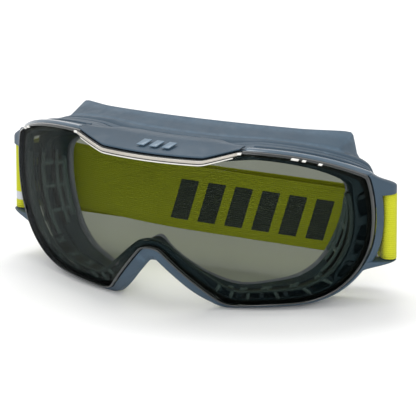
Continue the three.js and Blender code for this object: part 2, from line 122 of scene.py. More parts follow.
LENS_RAIL = rail((0, 42.4), (
    (24, 42.4),
    (38.5, 46.4),
    (56, 45.5, 72, 42, 84.2, 31.4),
    (86.4, 25, 88, 6, 83.5, -5.5),
    (79, -16.5, 70, -26.5, 55, -27),
    (33, -28),
    (27.5, -28.2, 24.5, -24),
    (5, -1.6),
    (3.4, 0, 0, 0),
), 0.9)
INNER_RAIL = rail((0, 36), (
    (24, 36),
    (37, 39.3),
    (53, 38.5, 68, 34.5, 76.5, 26),
    (79.5, 20, 80, 6, 76, -3),
    (72, -12.5, 66, -19.2, 53.5, -19.6),
    (36.5, -20.4),
    (32.5, -20.6, 29.8, -17.6),
    (9, 1.6),
    (6.4, 4.2, 0, 4.2),
), 3.0)
SEAL_RAIL = rail((0, 43), (
    (24, 42.8),
    (37, 41.8),
    (52, 40.5, 67, 36.6, 75, 30.6),
    (78, 22, 78.4, 6, 75, -6),
    (71.5, -17, 64, -27, 52, -29.4),
    (36, -30),
    (29, -30, 22.5, -25.6),
    (6.5, -8.6),
    (3.6, -5.4, 0, -5.4),
), 5.0)
OPENING_RAIL = rail((0, 34), (
    (24, 33.8),
    (36, 33),
    (50, 32, 61, 29, 66.5, 22.5),
    (67.5, 14, 65.5, 6, 62.4, -2),
    (60, -9, 55.5, -17.5, 46, -20.9),
    (34.5, -22),
    (29.5, -22, 25, -18.2),
    (8, -2.5),
    (1.6, 4, 0, 4),
), 5.0)
STATIONS = len(LENS_RAIL)
HALF = STATIONS // 2
AROUND = STATIONS // FINE
ALL = np.arange(STATIONS, dtype=float)


def on(loop, index):
    """Places on a rail at fine stations, whole or in between."""
    i = np.asarray(index, float) % STATIONS
    a = np.floor(i).astype(int)
    return loop[a % STATIONS] + (loop[(a + 1) % STATIONS] - loop[a % STATIONS]) * (i - a)[:, None]


def wall(index, inward, back, more=0.0):
    """Places in the wall: round the rail, 0..1 inward, 0..1 from lens to face, and mm further back."""
    index = np.asarray(index, float)
    w = np.broadcast_to(inward, index.shape)[:, None]
    front = on(LENS_RAIL, index) * (1 - w) + on(INNER_RAIL, index) * w
    rear = on(SEAL_RAIL, index) * (1 - w) + on(OPENING_RAIL, index) * w
    start = lens_y(front[:, 0], front[:, 1]) + LENS_THICKNESS
    depth = face_y(rear[:, 0], rear[:, 1]) - start
    s = back + more / depth
    xz = front + (rear - front) * np.clip(s, 0.0, 1.0)[:, None]
    return np.column_stack([xz[:, 0], start + s * depth, xz[:, 1]])


def run(start, end, per_station=FINE):
    """Fine stations from one coarse station to another."""
    return np.linspace(start * FINE, end * FINE, int(round((end - start) * per_station)) + 1)


# ---- meshes ----
def signed_volume(points, faces):
    """Six times the volume of a closed shape, below zero when its faces point inwards."""
    total = 0.0
    for face in faces:
        a = points[face[0]]
        for b, c in zip(face[1:], face[2:]):
            total += np.dot(a, np.cross(points[b], points[c]))
    return total


def link(obj):
    """Puts a new object in the scene."""
    bpy.context.scene.collection.objects.link(obj)
    return obj


def make_object(name, points, faces, materials):
    """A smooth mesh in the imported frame, from points in mm, with none of it below the rest plane."""
    points = np.array(points, float)
    points[:, 2] = np.maximum(points[:, 2], REST_Z)
    if signed_volume(points, faces) < 0:
        faces = [tuple(reversed(f)) for f in faces]
    mesh = bpy.data.meshes.new(name)
    mesh.from_pydata(((points + SHIFT) * MM).tolist(), [], [list(map(int, f)) for f in faces])
    mesh.update()
    for m in materials if isinstance(materials, (list, tuple)) else [materials]:
        mesh.materials.append(m)
    mesh.shade_smooth()
    return link(bpy.data.objects.new(name, mesh))


def loft(rows, loop=True):
    """Points and faces of matching closed sections joined in order; an open run is capped."""
    rows = np.asarray(rows)
    count, n = rows.shape[:2]
    faces = []
    for i in range(count if loop else count - 1):
        j = (i + 1) % count
        for k in range(n):
            m = (k + 1) % n
            faces.append((i * n + k, j * n + k, j * n + m, i * n + m))
    if not loop:
        faces.append(tuple(range(n)))
        faces.append(tuple(reversed(range((count - 1) * n, count * n))))
    return rows.reshape(-1, 3), faces


def section_rows(index, section):
    """One row of places for each station, from a section of (inward, back, more) corners."""
    return np.stack([wall(index, *p) for p in section], axis=1)


def bevel(obj, width, segments=2, angle=32):
    """Rounds every edge sharper than the angle, width mm wide."""
    m = obj.modifiers.new("rounded edges", "BEVEL")
    m.width = width * MM
    m.segments = segments
    m.limit_method = "ANGLE"
    m.angle_limit = math.radians(angle)
    return obj


def apply_modifiers(obj):
    """The evaluated shape becomes the object's own plain mesh."""
    graph = bpy.context.evaluated_depsgraph_get()
    baked = bpy.data.meshes.new_from_object(obj.evaluated_get(graph))
    old = obj.data
    obj.modifiers.clear()
    obj.data = baked
    bpy.data.meshes.remove(old)
    return obj


def ring(name, section, material, width=0.35):
    """A closed ring of the wall, all the way round."""
    points, faces = loft(section_rows(ALL, section))
    return bevel(make_object(name, points, faces, material), width)


def arc(name, start, end, section, material, width=0.35):
    """A run of the wall between two coarse stations."""
    index = run(start, end)
    points, faces = loft(section_rows(index, section(index) if callable(section) else section), loop=False)
    return bevel(make_object(name, points, faces, material), width)


def band(w0, w1, near, far):
    """A four-cornered section: from w0 to w1 inward, and from a near to a far (back, more)."""
    return [(w0, *near), (w1, *near), (w1, *far), (w0, *far)]


def joined(name, parts, material):
    """Several lofts as one mesh."""
    points, faces = [], []
    for p, f in parts:
        faces.extend(tuple(v + len(points) for v in face) for face in f)
        points.extend(p)
    return make_object(name, points, faces, material)


def cut(obj, cutter):
    """Takes the cutter's shape out of a piece for good."""
    m = obj.modifiers.new("cut", "BOOLEAN")
    m.object = cutter
    m.solver = "EXACT"
    apply_modifiers(obj)
    bpy.data.objects.remove(cutter)
    return obj


def refined(node, name, material, width, segments=3):
    """A merged copy of a CAD node with its flat facets joined and its edges rounded."""
    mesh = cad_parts[node].data.copy()
    shape = bmesh.new()
    shape.from_mesh(mesh)
    bmesh.ops.remove_doubles(shape, verts=shape.verts, dist=1e-6)
    bmesh.ops.dissolve_limit(shape, angle_limit=math.radians(1.0), verts=shape.verts, edges=shape.edges)
    bmesh.ops.recalc_face_normals(shape, faces=shape.faces)
    shape.to_mesh(mesh)
    shape.free()
    mesh.materials.clear()
    mesh.materials.append(material)
    mesh.shade_smooth()
    obj = bevel(link(bpy.data.objects.new(name, mesh)), width, segments)
    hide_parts(node)
    return obj


def fit(piece, body, slot, *nodes):
    """Says which body a piece rides on and hides the CAD nodes that it stands for. The slot argument is not
    used.
    """
    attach(piece, body)
    if nodes:
        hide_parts(*nodes)
    return piece


# ---- Geometry Nodes ----
def new_tree(name, inputs):
    """A tree with one geometry in and out and the named inputs."""
    tree = bpy.data.node_groups.new(name, "GeometryNodeTree")
    for label, kind in (("Geometry", "Geometry"), *inputs):
        tree.interface.new_socket(label, in_out="INPUT", socket_type="NodeSocket" + kind)
    tree.interface.new_socket("Geometry", in_out="OUTPUT", socket_type="NodeSocketGeometry")
    return tree, tree.nodes.new("NodeGroupInput").outputs, tree.nodes.new("NodeGroupOutput").inputs


def run_tree(obj, tree, values):
    """Runs a tree on an object with its named inputs set, and keeps the result as a plain mesh."""
    m = obj.modifiers.new(tree.name, "NODES")
    m.node_group = tree
    sockets = {s.name: s.identifier for s in tree.interface.items_tree if s.in_out == "INPUT"}
    for label, value in values.items():
        m[sockets[label]] = value
    return apply_modifiers(obj)


def block_tree():
    """Small rounded blocks, each set on a point and turned to face its own way."""
    sizes = [(label, "Float") for label in ("Length", "Width", "Height")]
    inputs = [*sizes, ("Roundness", "Int"), ("Material", "Material")]
    tree, given, result = new_tree("blocks on points", inputs)
    size = tree.nodes.new("ShaderNodeCombineXYZ")
    for axis, name in zip("XYZ", ("Length", "Width", "Height")):
        tree.links.new(given[name], size.inputs[axis])
    block = tree.nodes.new("GeometryNodeMeshCube")
    tree.links.new(size.outputs[0], block.inputs["Size"])
    soft = tree.nodes.new("GeometryNodeSubdivisionSurface")
    tree.links.new(block.outputs["Mesh"], soft.inputs["Mesh"])
    tree.links.new(given["Roundness"], soft.inputs["Level"])
    named = {}
    for name in ("along", "facing", "stretch"):
        named[name] = tree.nodes.new("GeometryNodeInputNamedAttribute")
        named[name].data_type = "FLOAT_VECTOR"
        named[name].inputs["Name"].default_value = name
    first = tree.nodes.new("FunctionNodeAlignRotationToVector")
    first.axis = "X"
    tree.links.new(named["along"].outputs["Attribute"], first.inputs["Vector"])
    second = tree.nodes.new("FunctionNodeAlignRotationToVector")
    second.axis = "Z"
    second.pivot_axis = "X"
    tree.links.new(first.outputs["Rotation"], second.inputs["Rotation"])
    tree.links.new(named["facing"].outputs["Attribute"], second.inputs["Vector"])
    place = tree.nodes.new("GeometryNodeInstanceOnPoints")
    tree.links.new(given["Geometry"], place.inputs["Points"])
    tree.links.new(soft.outputs["Mesh"], place.inputs["Instance"])
    tree.links.new(second.outputs["Rotation"], place.inputs["Rotation"])
    tree.links.new(named["stretch"].outputs["Attribute"], place.inputs["Scale"])
    real = tree.nodes.new("GeometryNodeRealizeInstances")
    tree.links.new(place.outputs["Instances"], real.inputs["Geometry"])
    paint = tree.nodes.new("GeometryNodeSetMaterial")
    tree.links.new(real.outputs["Geometry"], paint.inputs["Geometry"])
    tree.links.new(given["Material"], paint.inputs["Material"])
    tree.links.new(paint.outputs["Geometry"], result["Geometry"])
    return tree


BLOCKS = block_tree()


def blocks(name, places, along, facing, size, material, roundness=0, stretch=(1.0, 1.0, 1.0)):
    """One plain mesh of blocks: size is (length, width, height) in mm, along and facing are directions."""
    places = (np.asarray(places, float) + SHIFT) * MM
    mesh = bpy.data.meshes.new(name)
    mesh.from_pydata(places.tolist(), [], [])
    for key, value in (("along", along), ("facing", facing), ("stretch", stretch)):
        data = np.broadcast_to(np.asarray(value, np.float32), (len(places), 3))
        mesh.attributes.new(key, "FLOAT_VECTOR", "POINT").data.foreach_set("vector", data.ravel())
    obj = link(bpy.data.objects.new(name, mesh))
    values = {label: value * MM for label, value in zip(("Length", "Width", "Height"), size)}
    run_tree(obj, BLOCKS, {**values, "Roundness": roundness, "Material": material})
    if roundness:
        obj.data.shade_smooth()
    else:
        obj.data.shade_flat()
    return obj


def lengthened(lengths, widths=1.0):
    """How much each block of a set is stretched: to its own length, and width where that varies too."""
    ones = np.ones_like(lengths)
    return np.column_stack([lengths, ones, ones * widths])


def strings(index, inward, back, more=0.0):
    """Short runs that follow the wall: their middles, directions, facing and lengths in mm."""
    p = wall(index, inward, back, more)
    away = wall(index, np.asarray(inward) - 0.1, back, more) - p
    step = p[1:] - p[:-1]
    return (p[1:] + p[:-1]) / 2, step, away[:-1], np.linalg.norm(step, axis=1)


# ---- materials ----
def srgb(r, g, b):
    """A linear colour from the usual 0 to 255 steps."""
    def linear(c):
        c = c / 255.0
        return c / 12.92 if c <= 0.04045 else ((c + 0.055) / 1.055) ** 2.4
    return (linear(r), linear(g), linear(b), 1.0)


class Finish:
    """A material under construction: short names for the nodes that these materials use."""

    def __init__(self, name):
        self.material = bpy.data.materials.new(name)
        self.material.use_nodes = True
        self.tree = self.material.node_tree
        self.surface = self.tree.nodes["Principled BSDF"]
        self.output = self.tree.nodes["Material Output"]
        self.coords = self.tree.nodes.new("ShaderNodeTexCoord")

    def add(self, kind, **settings):
        node = self.tree.nodes.new(kind)
        for key, value in settings.items():
            setattr(node, key, value)
        return node

    def link(self, a, b):
        self.tree.links.new(a, b)

    def noise(self, scale, detail=3.0, roughness=0.5, coords=None):
        node = self.add("ShaderNodeTexNoise")
        node.inputs["Scale"].default_value = scale
        node.inputs["Detail"].default_value = detail
        node.inputs["Roughness"].default_value = roughness
        self.link(coords or self.coords.outputs["Object"], node.inputs["Vector"])
        return node.outputs["Fac"]

    def ramp(self, factor, stops):
        node = self.add("ShaderNodeValToRGB")
        node.color_ramp.elements[0].position, node.color_ramp.elements[0].color = stops[0]
        node.color_ramp.elements[1].position, node.color_ramp.elements[1].color = stops[-1]
        for position, colour in stops[1:-1]:
            node.color_ramp.elements.new(position).color = colour
        self.link(factor, node.inputs["Fac"])
        return node.outputs["Color"]

    def spread(self, factor, low, high, start=0.3, end=0.7):
        node = self.add("ShaderNodeMapRange")
        node.inputs["From Min"].default_value = start
        node.inputs["From Max"].default_value = end
        node.inputs["To Min"].default_value = low
        node.inputs["To Max"].default_value = high
        self.link(factor, node.inputs["Value"])
        return node.outputs["Result"]

    def math(self, operation, a, b=None):
        node = self.add("ShaderNodeMath", operation=operation)
        for socket, value in zip(node.inputs, (a, b)):
            if isinstance(value, (int, float)):
                socket.default_value = value
            elif value is not None:
                self.link(value, socket)
        return node.outputs[0]

    def mix(self, factor, a, b):
        node = self.add("ShaderNodeMix", data_type="RGBA")
        for socket, value in ((node.inputs[0], factor), (node.inputs[6], a), (node.inputs[7], b)):
            if isinstance(value, (tuple, float, int)):
                socket.default_value = value
            else:
                self.link(value, socket)
        return node.outputs[2]

    def bump(self, height, distance, strength=1.0, under=None):
        node = self.add("ShaderNodeBump")
        node.inputs["Distance"].default_value = distance * MM
        node.inputs["Strength"].default_value = strength
        self.link(height, node.inputs["Height"])
        if under is not None:
            self.link(under, node.inputs["Normal"])
        return node.outputs["Normal"]


def moulded(name, dark, light, roughness=(0.42, 0.55), grain=0.03, specular=0.45, coat=0.0):
    """Moulded plastic or rubber: cloudy colour, spark-eroded grain, and a painted highlight that turns sharp
    edges paler in noisy patches.
    """
    f = Finish(name)
    cloud = f.noise(60.0, 4.0, 0.6)
    colour = f.ramp(cloud, [(0.3, dark), (0.72, light)])
    # Painted highlight: sharp convex edges are mixed towards a paler colour, broken up by noise.
    edge = f.add("ShaderNodeNewGeometry").outputs["Pointiness"]
    edge_highlight_mask = f.spread(edge, 0.0, 0.55, 0.52, 0.62)
    painted_edge_highlight = f.math("MULTIPLY", edge_highlight_mask, f.spread(f.noise(420.0, 4.0, 0.7), 0.2, 1.0))
    edge_highlight_colour = tuple(min(1.0, 1.7 * c) for c in light[:3]) + (1.0,)
    f.link(f.mix(painted_edge_highlight, colour, edge_highlight_colour), f.surface.inputs["Base Color"])
    f.link(f.spread(f.noise(240.0, 3.0), *roughness), f.surface.inputs["Roughness"])
    waves = f.bump(f.noise(180.0, 2.0), 0.08, 0.5)
    f.link(f.bump(f.noise(3800.0, 2.0, 0.6), grain, 1.0, waves), f.surface.inputs["Normal"])
    f.surface.inputs["Specular IOR Level"].default_value = specular
    f.surface.inputs["Coat Weight"].default_value = coat
    f.surface.inputs["Coat Roughness"].default_value = 0.2
    return f.material


LENS_MIRROR_IOR = 1.22
LENS_MIRROR_SHARE = 0.3


def tinted_lens(name, tint, open_to_lamps, mirror_colour):
    """Tinted polycarbonate: each surface lets a share of the light through and mirrors by angle."""
    f = Finish(name)
    f.tree.nodes.remove(f.surface)
    clear = f.add("ShaderNodeBsdfTransparent")
    darker = tuple(0.97 * c for c in tint[:3]) + (1.0,)
    f.link(f.ramp(f.noise(25.0, 2.0), [(0.3, tint), (0.7, darker)]), clear.inputs["Color"])
    mirror = f.add("ShaderNodeBsdfGlossy")
    f.link(f.spread(f.noise(90.0, 3.0), 0.0, 0.015), mirror.inputs["Roughness"])
    mirror.inputs["Color"].default_value = mirror_colour
    angle = f.add("ShaderNodeFresnel")
    angle.inputs["IOR"].default_value = LENS_MIRROR_IOR
    glass = f.add("ShaderNodeMixShader")
    f.link(f.math("MULTIPLY", angle.outputs["Fac"], LENS_MIRROR_SHARE), glass.inputs["Fac"])
    f.link(clear.outputs["BSDF"], glass.inputs[1])
    f.link(mirror.outputs["BSDF"], glass.inputs[2])
    lamps = f.add("ShaderNodeBsdfTransparent")
    lamps.inputs["Color"].default_value = open_to_lamps
    path = f.add("ShaderNodeLightPath")
    both = f.add("ShaderNodeMixShader")
    f.link(path.outputs["Is Camera Ray"], both.inputs["Fac"])
    f.link(lamps.outputs["BSDF"], both.inputs[1])
    f.link(glass.outputs["Shader"], both.inputs[2])
    f.link(both.outputs["Shader"], f.output.inputs["Surface"])
    return f.material


RIB_PITCH = 0.95
WEFT_PITCH = 0.75


def webbing(name, base, pale, print_colour=None, stripes=None):
    """Woven elastic: cords along the length crossed by fine weft, on a UV map in centimetres, with painted
    shade in the grooves between them.
    """
    f = Finish(name)
    parts = f.add("ShaderNodeSeparateXYZ")
    f.link(f.coords.outputs["UV"], parts.inputs[0])
    along, across = (f.math("MULTIPLY", parts.outputs[axis], 10.0) for axis in ("X", "Y"))
    cord = f.math("ABSOLUTE", f.math("SINE", f.math("MULTIPLY", across, math.pi / RIB_PITCH)))
    row = f.math("FLOOR", f.math("DIVIDE", across, RIB_PITCH))
    shifted = f.math("ADD", along, f.math("MULTIPLY", f.math("MODULO", row, 2.0), WEFT_PITCH / 2))
    weft = f.math("ABSOLUTE", f.math("SINE", f.math("MULTIPLY", shifted, math.pi / WEFT_PITCH)))
    height = f.math("ADD", f.math("MULTIPLY", cord, 0.65), f.math("MULTIPLY", weft, 0.35))
    # Painted shade: the grooves of the weave take the base colour and the raised threads the paler one, by the
    # weave's height.
    weave = f.mix(f.spread(height, 0.0, 1.0, 0.1, 0.8), base, pale)
    cloud = f.spread(f.noise(70.0, 3.0), 0.0, 0.35)
    colour = f.mix(cloud, weave, base)
    if print_colour:
        start, end, low, high, pitch, ink, slant = stripes
        lean = f.math("ADD", along, f.math("MULTIPLY", across, -slant))
        phase = f.math("MODULO", f.math("SUBTRACT", lean, start - slant * low), pitch)
        tests = (
            f.math("LESS_THAN", phase, ink), f.math("GREATER_THAN", lean, start - slant * low),
            f.math("LESS_THAN", lean, end - slant * high),
            f.math("GREATER_THAN", across, low), f.math("LESS_THAN", across, high),
        )
        mask = tests[0]
        for test in tests[1:]:
            mask = f.math("MULTIPLY", mask, test)
        colour = f.mix(f.math("MULTIPLY", mask, f.spread(height, 0.84, 1.0, 0.1, 0.6)), colour, print_colour)
    f.link(colour, f.surface.inputs["Base Color"])
    f.link(f.spread(f.noise(300.0), 0.78, 0.95), f.surface.inputs["Roughness"])
    fuzz = f.bump(f.noise(2600.0, 3.0, 0.7), 0.06, 0.6)
    f.link(f.bump(height, 0.22, 0.9, fuzz), f.surface.inputs["Normal"])
    f.surface.inputs["Specular IOR Level"].default_value = 0.2
    f.surface.inputs["Sheen Weight"].default_value = 0.12
    f.surface.inputs["Sheen Roughness"].default_value = 0.4
    return f.material


FRAME_PLASTIC = moulded(
    "blue-grey frame plastic", srgb(45, 64, 79), srgb(55, 75, 91),
    roughness=(0.4, 0.52), grain=0.03, specular=0.4,
)
GLOSS_PLASTIC = moulded(
    "glossy blue-grey edge", srgb(60, 80, 96), srgb(72, 93, 110),
    roughness=(0.16, 0.24), grain=0.01, specular=0.6, coat=0.5,
)
RIB_PLASTIC = moulded(
    "pale inner rib plastic", srgb(104, 122, 130), srgb(122, 140, 148),
    roughness=(0.3, 0.42), grain=0.02, specular=0.5,
)
INNER_PLASTIC = moulded(
    "dark inner frame plastic", srgb(66, 82, 90), srgb(80, 96, 104),
    roughness=(0.35, 0.5), grain=0.03, specular=0.4,
)
SEAL_RUBBER = moulded(
    "soft blue-grey seal", srgb(52, 70, 85), srgb(62, 81, 96),
    roughness=(0.46, 0.62), grain=0.05, specular=0.4,
)
# Painted reflection: the cushion's pale lavender colour stands in for the white light that the glossy inner
# seal reflects.
CUSHION_PAINTED_REFLECTION = moulded(
    "cushion painted pale lavender as a reflection", srgb(168, 170, 192), srgb(184, 186, 206),
    roughness=(0.55, 0.7), grain=0.06, specular=0.3,
)
GASKET_RUBBER = moulded(
    "black gasket", srgb(22, 25, 27), srgb(30, 34, 36),
    roughness=(0.5, 0.65), grain=0.04, specular=0.3,
)
MESH_PLASTIC = moulded(
    "dark vent mesh", srgb(34, 40, 42), srgb(46, 54, 56),
    roughness=(0.5, 0.6), grain=0.03, specular=0.35,
)
BUCKLE_PLASTIC = moulded(
    "dark buckle plastic", srgb(34, 38, 42), srgb(42, 47, 52),
    roughness=(0.3, 0.42), grain=0.02,
)
MARK_PLASTIC = moulded(
    "raised blue-grey mark", srgb(86, 106, 122), srgb(98, 118, 134),
    roughness=(0.28, 0.36), grain=0.01, specular=0.5,
)
LENS_TINT = tinted_lens(
    "grey tinted lens", tint=(0.42, 0.435, 0.395, 1.0), open_to_lamps=(0.97, 0.98, 0.96, 1.0),
    mirror_colour=(0.16, 0.17, 0.18, 1.0),
)
LENS_EDGE = moulded(
    "polished smoky lens edge", srgb(20, 24, 25), srgb(32, 37, 38),
    roughness=(0.06, 0.12), grain=0.004, specular=0.5, coat=0.3,
)
# Painted highlight: a cream bead along the brow edge of the lens, for the top light that the edge reflects
# there.
BROW_HIGHLIGHT_BEAD = moulded(
    "painted cream highlight bead", srgb(150, 144, 134), srgb(172, 167, 157),
    roughness=(0.1, 0.16), grain=0.004, specular=0.7, coat=0.6,
)
# Painted highlight: white beads for the bright line under the brow and for the glints at the clips and the
# upper edge of the lens.
WHITE_HIGHLIGHT_BEAD = moulded(
    "painted white highlight bead", srgb(208, 205, 198), srgb(222, 220, 214),
    roughness=(0.14, 0.2), grain=0.004, specular=0.6, coat=0.3,
)
LIME, PALE_LIME = srgb(178, 182, 30), srgb(194, 197, 46)
# Lighter copies of the lime: painted light for the face of the strap that lies in shade behind the lens.
PAINTED_LIT_LIME, PAINTED_LIT_PALE_LIME = srgb(214, 222, 52), srgb(228, 234, 74)
PRINT_GREY = srgb(84, 92, 94)
STRAP_LIME = webbing("lime webbing", LIME, PALE_LIME)
THREAD = moulded(
    "lime thread", srgb(196, 202, 60), srgb(208, 214, 76),
    roughness=(0.6, 0.8), grain=0.05, specular=0.3,
)
TAB_GREY = moulded(
    "pale grey printed tab", srgb(176, 180, 186), srgb(192, 196, 202),
    roughness=(0.4, 0.5), grain=0.03, specular=0.5,
)


# ---- lens ----
LENS_MIDDLE = np.array([0.0, 22.0])
LENS_CHAMFER = 0.45
LENS_RINGS = [*np.linspace(0.04, 0.985, 34), 1.0]
CREASE_ANGLE = 30.0


def lens_tree():
    """Bends a flat lens to its side and up radii, from the height of its crest, and paints face and edge."""
    sizes = [(label, "Float") for label in ("Side radius", "Up radius", "Crest height", "Start")]
    tree, given, result = new_tree("lens curve", [*sizes, ("Tint", "Material"), ("Edge", "Material")])
    flat = tree.nodes.new("ShaderNodeSeparateXYZ")
    tree.links.new(tree.nodes.new("GeometryNodeInputPosition").outputs[0], flat.inputs[0])

    def math_node(operation, a, b):
        node = tree.nodes.new("ShaderNodeMath")
        node.operation = operation
        for socket, value in zip(node.inputs, (a, b)):
            if isinstance(value, float):
                socket.default_value = value
            else:
                tree.links.new(value, socket)
        return node.outputs[0]

    def sag(radius, reach):
        """How far a circle of this radius has fallen back at this distance from its crest."""
        squares = math_node("SUBTRACT", math_node("POWER", radius, 2.0), math_node("MULTIPLY", reach, reach))
        return math_node("SUBTRACT", radius, math_node("POWER", squares, 0.5))

    side = sag(given["Side radius"], flat.outputs["X"])
    up = sag(given["Up radius"], math_node("SUBTRACT", flat.outputs["Z"], given["Crest height"]))
    depth = math_node("ADD", flat.outputs["Y"], given["Start"])
    curved = tree.nodes.new("ShaderNodeCombineXYZ")
    tree.links.new(flat.outputs["X"], curved.inputs["X"])
    tree.links.new(math_node("ADD", depth, math_node("ADD", side, up)), curved.inputs["Y"])
    tree.links.new(flat.outputs["Z"], curved.inputs["Z"])
    bend = tree.nodes.new("GeometryNodeSetPosition")
    tree.links.new(given["Geometry"], bend.inputs["Geometry"])
    tree.links.new(curved.outputs[0], bend.inputs["Position"])
    real = tree.nodes.new("GeometryNodeRealizeInstances")
    tree.links.new(bend.outputs["Geometry"], real.inputs["Geometry"])
    face_paint = tree.nodes.new("GeometryNodeSetMaterial")
    tree.links.new(real.outputs["Geometry"], face_paint.inputs["Geometry"])
    tree.links.new(given["Tint"], face_paint.inputs["Material"])
    on_edge = tree.nodes.new("GeometryNodeInputNamedAttribute")
    on_edge.data_type = "BOOLEAN"
    on_edge.inputs["Name"].default_value = "polished_edge"
    edge_paint = tree.nodes.new("GeometryNodeSetMaterial")
    tree.links.new(face_paint.outputs["Geometry"], edge_paint.inputs["Geometry"])
    tree.links.new(on_edge.outputs["Attribute"], edge_paint.inputs["Selection"])
    tree.links.new(given["Edge"], edge_paint.inputs["Material"])
    tree.links.new(edge_paint.outputs["Geometry"], result["Geometry"])
    return tree


def lens_spoke(p, f):
    """A point part of the way out to the edge, along spokes that leave a short spine across the lens."""
    root = LENS_MIDDLE + np.column_stack([p[:, 0] * 0.55, -6.0 * (np.abs(p[:, 0]) / 87.0) ** 2])
    hub = LENS_MIDDLE + (root - LENS_MIDDLE) * min(1.0, f * 1.6)
    return hub + (p - hub) * f**1.3


def make_lens():
    """Rings of points from the middle of the lens to its chamfered edge, laid flat and then bent."""
    inward = INNER_RAIL - LENS_RAIL
    inward /= np.linalg.norm(inward, axis=1)[:, None]
    points = []
    for depth, rim_depth in ((0.0, LENS_CHAMFER), (LENS_THICKNESS, LENS_THICKNESS - LENS_CHAMFER)):
        points.append([[LENS_MIDDLE[0], depth, LENS_MIDDLE[1]]])
        for f in LENS_RINGS:
            q = lens_spoke(LENS_RAIL + inward * LENS_CHAMFER, f)
            points.append(np.insert(q, 1, depth, axis=1))
        points.append(np.insert(LENS_RAIL, 1, rim_depth, axis=1))
    rings = len(LENS_RINGS) + 1
    rear = 1 + rings * STATIONS
    faces, edge_faces = [], []
    for base, turn in ((0, 1), (rear, -1)):
        for k in range(STATIONS):
            m = (k + 1) % STATIONS
            faces.append((base, base + 1 + k, base + 1 + m)[::turn])
            for r in range(rings - 1):
                a = base + 1 + r * STATIONS
                quad = (a + k, a + STATIONS + k, a + STATIONS + m, a + m)[::turn]
                kind = faces if r < rings - 2 else edge_faces
                kind.append(quad)
    rim = 1 + (rings - 1) * STATIONS
    for k in range(STATIONS):
        m = (k + 1) % STATIONS
        edge_faces.append((rim + k, rear + rim + k, rear + rim + m, rim + m))
    lens = make_object("panoramic_lens", np.vstack(points), faces + edge_faces, [])
    on_edge = lens.data.attributes.new("polished_edge", "BOOLEAN", "FACE")
    on_edge.data.foreach_set("value", np.arange(len(lens.data.polygons)) >= len(faces))
    run_tree(lens, lens_tree(), {
        "Side radius": LENS_RADIUS_SIDE * MM, "Up radius": LENS_RADIUS_UP * MM,
        "Crest height": (LENS_CREST_Z + SHIFT[2]) * MM, "Start": LENS_START_Y * MM,
        "Tint": LENS_TINT, "Edge": LENS_EDGE,
    })
    mark_sharp(lens, CREASE_ANGLE)
    return lens


def mark_sharp(obj, degrees):
    """Keeps the shading crisp where faces meet at more than this angle."""
    mesh = bmesh.new()
    mesh.from_mesh(obj.data)
    for e in mesh.edges:
        e.smooth = not (e.is_manifold and e.calc_face_angle(0.0) > math.radians(degrees))
    mesh.to_mesh(obj.data)
    mesh.free()


def bead(name, start, end, inset, radius, lift, material, sides=10):
    """A round bead that follows the lens edge, inset mm in from it and lift mm out of its face."""
    index = ALL if end - start >= AROUND else run(start, end)
    edge = on(LENS_RAIL, index)
    inward = on(INNER_RAIL, index) - edge
    inward /= np.linalg.norm(inward, axis=1)[:, None]
    q = edge + inward * inset
    centre = np.column_stack([q[:, 0], lens_y(q[:, 0], q[:, 1]) - lift, q[:, 1]])
    side = np.insert(inward, 1, 0.0, axis=1)
    ahead = np.array([0.0, -1.0, 0.0])
    rows = [centre + radius * (math.cos(t) * side + math.sin(t) * ahead)
            for t in np.arange(sides) * 2 * math.pi / sides]
    points, faces = loft(np.stack(rows, axis=1), loop=index is ALL)
    return make_object(name, points, faces, material)


fit(make_lens(), LENS_BODY, "lens", "lens")
gasket = ring("lens_rim_gasket", band(0.06, 0.34, (0, 0.35), (0, 1.2)), GASKET_RUBBER, 0.2)
fit(gasket, LENS_BODY, "gasket", "lens_gasket")
fit(bead("lens_edge_bead", 0, AROUND, 0.5, 0.38, 0.02, LENS_EDGE), LENS_BODY, "lens")
# Painted highlights along the brow edge of the lens: a cream bead and a white line.
fit(bead("lens_brow_highlight_bead", -5, 5, 0.95, 0.72, 0.3, BROW_HIGHLIGHT_BEAD), LENS_BODY, "lens")
fit(bead("lens_brow_shadow_line", -4.9, 4.9, 1.85, 0.3, 0.02, LENS_EDGE), LENS_BODY, "lens")
fit(bead("lens_brow_highlight_line", -4.8, 4.8, 2.3, 0.3, 0.08, WHITE_HIGHLIGHT_BEAD), LENS_BODY, "lens")
# Short white beads painted as glints: at both ends of the brow and along the upper edge of the lens.
GLINT_BEAD_SPANS = (
    (-5.3, -5.05), (4.95, 5.2),
    (7.9, 8.3), (8.5, 8.7), (9.4, 9.6),
    (-10.9, -10.7), (-10.5, -10.1),
)
for i, (a, b) in enumerate(GLINT_BEAD_SPANS, 1):
    fit(bead(f"lens_glint_bead_{i}", a, b, 0.75, 0.6, 0.25, WHITE_HIGHLIGHT_BEAD), LENS_BODY, "lens")


# ---- carrier ----
def front_ring_reach(index):
    """How far in the front ring reaches: wide at the sides and the nose, slim at the brow and the bottom."""
    from_brow = np.minimum(index % STATIONS, STATIONS - index % STATIONS) / FINE
    side = smooth_step(from_brow, 10.0, 14.0) - smooth_step(from_brow, 19.8, 21.4)
    return 0.42 + 0.38 * (side + smooth_step(from_brow, 30.4, 32.2))


def slot_cutter(stations, w0, w1, near, far):
    """Rounded slots through the wall, on both sides of the goggles."""
    parts = []
    for a, b in stations:
        for index in (run(a, b), run(AROUND - b, AROUND - a)):
            ends = np.sin(np.linspace(0, math.pi, len(index))) ** 0.35
            middle, half = (w0 + w1) / 2, (w1 - w0) / 2 * np.maximum(ends, 0.35)
            parts.append(loft(section_rows(index, band(middle - half, middle + half, near, far)), loop=False))
    return joined("slot cutter", parts, INNER_PLASTIC)


SIDE_SLOTS = ((13.2, 15.1), (15.8, 18.1), (18.7, 20.4))


